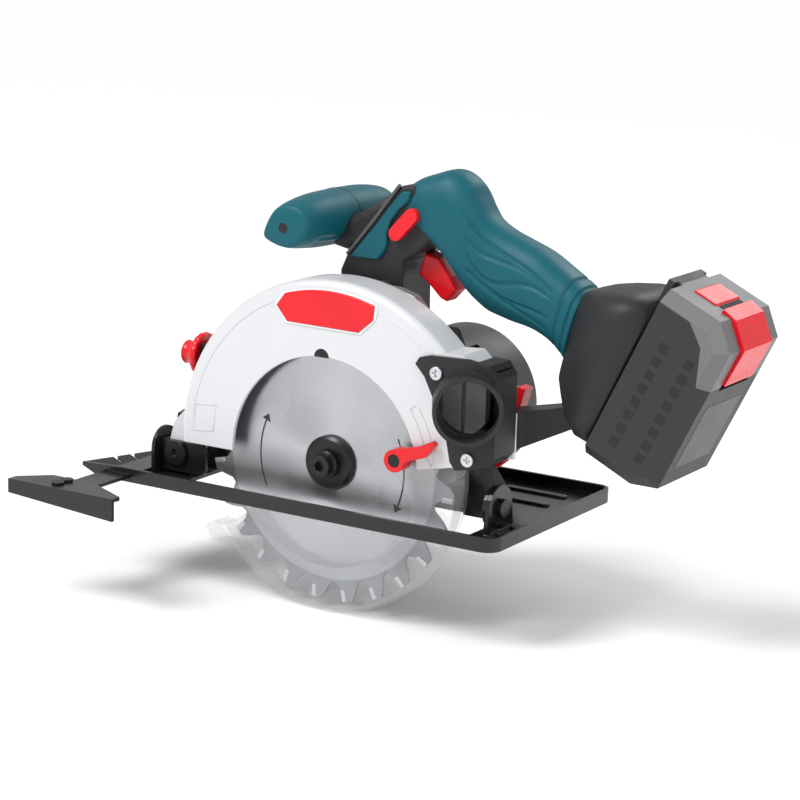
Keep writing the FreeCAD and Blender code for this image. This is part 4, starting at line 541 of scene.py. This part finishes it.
def blade_marks():
    """Two etched rotation arrows on the blade."""
    for name, start, stop in (("left", 205, 158), ("right", 25, -22)):
        step = (stop - start) / 16
        outer = [polar(49.6, start + step * i) for i in range(17)]
        inner = [polar(48.6, start + step * i) for i in range(16, -1, -1)]
        prism("blade_arc_" + name, outer + inner, BLADE_FACE - 0.06, BLADE_FACE + 0.2, "etched",
              "blade")
        head = [polar(52.2, stop), polar(49.1, stop - 5.2), polar(46.0, stop)]
        prism("blade_head_" + name, head, BLADE_FACE - 0.06, BLADE_FACE + 0.2, "etched",
              "blade")


# ---------------------------------------------------------------- battery details

# Outlines given along the battery's slide and outwards from its seat
SIDE_PANEL = [(4, 8), (4, 30), (12, 38.5), (78, 38.5), (89, 30), (91, 18), (80, 8)]
LATCH_RIB = [(103.8, 28.5), (104.9, 28.5), (103.5, 36), (93.0, 47.9), (72, 47.8), (72, 46.9), (92.6, 47.0),
             (102.2, 35.4)]


def battery_details():
    """Side panels with rows of dark patches as painted shade for dimples, the slider with a dark strip as
    painted shade in its recess, the label area and the latch's ribs.
    """
    for side, wall, out in (("left", MIDDLE - BATTERY_HALF, -1), ("right", MIDDLE + BATTERY_HALF, 1)):
        low, high = sorted((wall - out * 0.6, wall - out * 0.02))
        prism("side_panel_" + side, SIDE_PANEL, low, high, "battery_grey", "battery", 0.5, on_battery)
        for row, depth in (("a", 14.0), ("b", 31.0)):
            for k in range(8):
                a = 13 + 8.6 * k
                # Dark patches on the side panels: painted shade standing in for dimples
                dimple_shade = [(a, depth - 3.0), (a, depth + 3.0), (a + 6.2, depth + 3.0), (a + 6.2, depth - 3.0)]
                low, high = sorted((wall - out * 0.4, wall - out * 0.01))
                prism("dimple_%s_%s%d" % (side, row, k), dimple_shade, low - 0.02, high + 0.02, "deep",
                      "battery", 0.3, on_battery)
    prism("label_area", [(16, 45.6), (56, 45.6), (56, 46.15), (16, 46.15)], MIDDLE - 22, MIDDLE + 22,
          "drum_plastic", "battery", 0.2, on_battery)
    prism("top_slider", [(103.6, 6), (104.9, 7.5), (104.9, 21), (103.6, 22.5)], MIDDLE - 15, MIDDLE + 15,
          "red_plastic", "battery", 0.5, on_battery)
    # A dark strip: painted shade in the slider's recess
    prism("slider_recess_shade", [(103.9, 22.3), (104.25, 22.3), (104.25, 27), (103.9, 27)],
          MIDDLE - 13, MIDDLE + 13, "deep", "battery", 0.1, on_battery)
    for k in range(6):
        y = MIDDLE - 14 + 5.6 * k
        prism("latch_rib_%d" % k, LATCH_RIB, y - 1.1, y + 1.1, "red_plastic", "battery_latch", 0.4,
              on_battery)


# ---------------------------------------------------------------- knob

def tilt_knob():
    """Red locking knob of the tilt bolt: a broad flange and a hub that narrows to a flared end."""
    centre = Vector((-125.6, 50.0, 65.0))
    count = 72
    profile = [(0.0, 3.3), (0.0, 12.6), (1.2, 13.4), (3.4, 13.4), (4.6, 12.6), (5.4, 9.4), (8.2, 7.6),
               (11.5, 6.6), (13.2, 7.0), (14.4, 7.5), (14.9, 6.8), (14.9, 3.3)]
    rings = []
    for back, radius in profile:
        ring = []
        for i in range(count):
            angle = 2 * math.pi * i / count
            lobe = 1 + 0.02 * math.cos(18 * angle) * (radius > 12)
            ring.append((centre.x - back, centre.y + radius * lobe * math.cos(angle),
                         centre.z + radius * lobe * math.sin(angle)))
        rings.append(ring)
    points = [p for ring in rings for p in ring]
    total = len(rings)
    faces = [(k % total * count + i, k % total * count + (i + 1) % count,
              (k + 1) % total * count + (i + 1) % count, (k + 1) % total * count + i)
             for k in range(total) for i in range(count)]
    piece = add("tilt_knob", points, faces, "red_plastic", "bevel_knob")
    return softened(piece, 0.5, 2, 35)


# ---------------------------------------------------------------- build

grip = grip_skin()
housing = switch_housing()
battery_foot()
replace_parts(grip, "grip_left", "grip_right")
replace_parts(housing, "handle_left", "handle_right")
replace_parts(front_handle(), "aux_handle_left", "aux_handle_right")
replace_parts(tilt_knob(), "bevel_knob")
guard_details()
blade_marks()
battery_details()


# ---------------------------------------------------------------- stage

def area_light(name, place, target, size, power, tint=(1, 1, 1)):
    data = bpy.data.lights.new(name, "AREA")
    data.shape = "DISK"
    data.size = size
    data.energy = power
    data.color = tint
    lamp = bpy.data.objects.new(name, data)
    lamp.location = place
    lamp.rotation_euler = (Vector(target) - Vector(place)).to_track_quat("-Z", "Y").to_euler()
    bpy.context.scene.collection.objects.link(lamp)


def floor():
    mesh = bpy.data.meshes.new("floor")
    half, level = 14.0, CAD_BOX[0][2] - 0.5 * MM
    corners = [(-half, -half, level), (half, -half, level), (half, half, level), (-half, half, level)]
    mesh.from_pydata(corners, [], [(0, 1, 2, 3)])
    plane = bpy.data.objects.new("floor", mesh)
    bpy.context.scene.collection.objects.link(plane)
    mesh.materials.append(finish("floor", (0.93, 0.93, 0.93), 0.85, grain=60, bump=0.02, spread=0.01,
                                 wear=0.0))


def camera():
    """The photograph's view: 31.4 degrees towards the rear, 12.9 degrees up, slightly rolled."""
    azimuth, rise, roll = (math.radians(v) for v in (31.4186, 12.9058, 1.7417))
    back = Vector((math.sin(azimuth) * math.cos(rise), -math.cos(azimuth) * math.cos(rise), math.sin(rise)))
    flat = Vector((math.cos(azimuth), math.sin(azimuth), 0))
    above = back.cross(flat)
    right = flat * math.cos(roll) + above * math.sin(roll)
    up = above * math.cos(roll) - flat * math.sin(roll)
    data = bpy.data.cameras.new("camera")
    data.sensor_width = 36.0
    data.lens = 111.6
    view = bpy.data.objects.new("camera", data)
    turn = Matrix((right, up, back)).transposed().to_4x4()
    view.matrix_world = Matrix.Translation((Vector((751.9, -1158.0, 381.1)) + INSET) * MM) @ turn
    bpy.context.scene.collection.objects.link(view)
    bpy.context.scene.camera = view


floor()
camera()
area_light("key", (-0.7, -1.1, 1.3), (0, 0, 0.05), 0.7, 5)
area_light("side", (1.5, -0.5, 0.7), (0.05, 0, 0.08), 0.6, 6)
area_light("rear", (0.2, 1.4, 1.1), (0, 0, 0.1), 0.8, 6)
sun = bpy.data.lights.new("sun", "SUN")
sun.energy = 2.05
sun.angle = math.radians(24)
sky = bpy.data.objects.new("sun", sun)
sky.rotation_euler = Vector((-0.35, -0.62, 1.0)).to_track_quat("Z", "Y").to_euler()
bpy.context.scene.collection.objects.link(sky)
world = bpy.data.worlds.new("studio")
world.use_nodes = True
world.node_tree.nodes["Background"].inputs["Color"].default_value = (1, 1, 1, 1)
world.node_tree.nodes["Background"].inputs["Strength"].default_value = 0.55
bpy.context.scene.world = world
bpy.context.scene.view_settings.view_transform = "Standard"
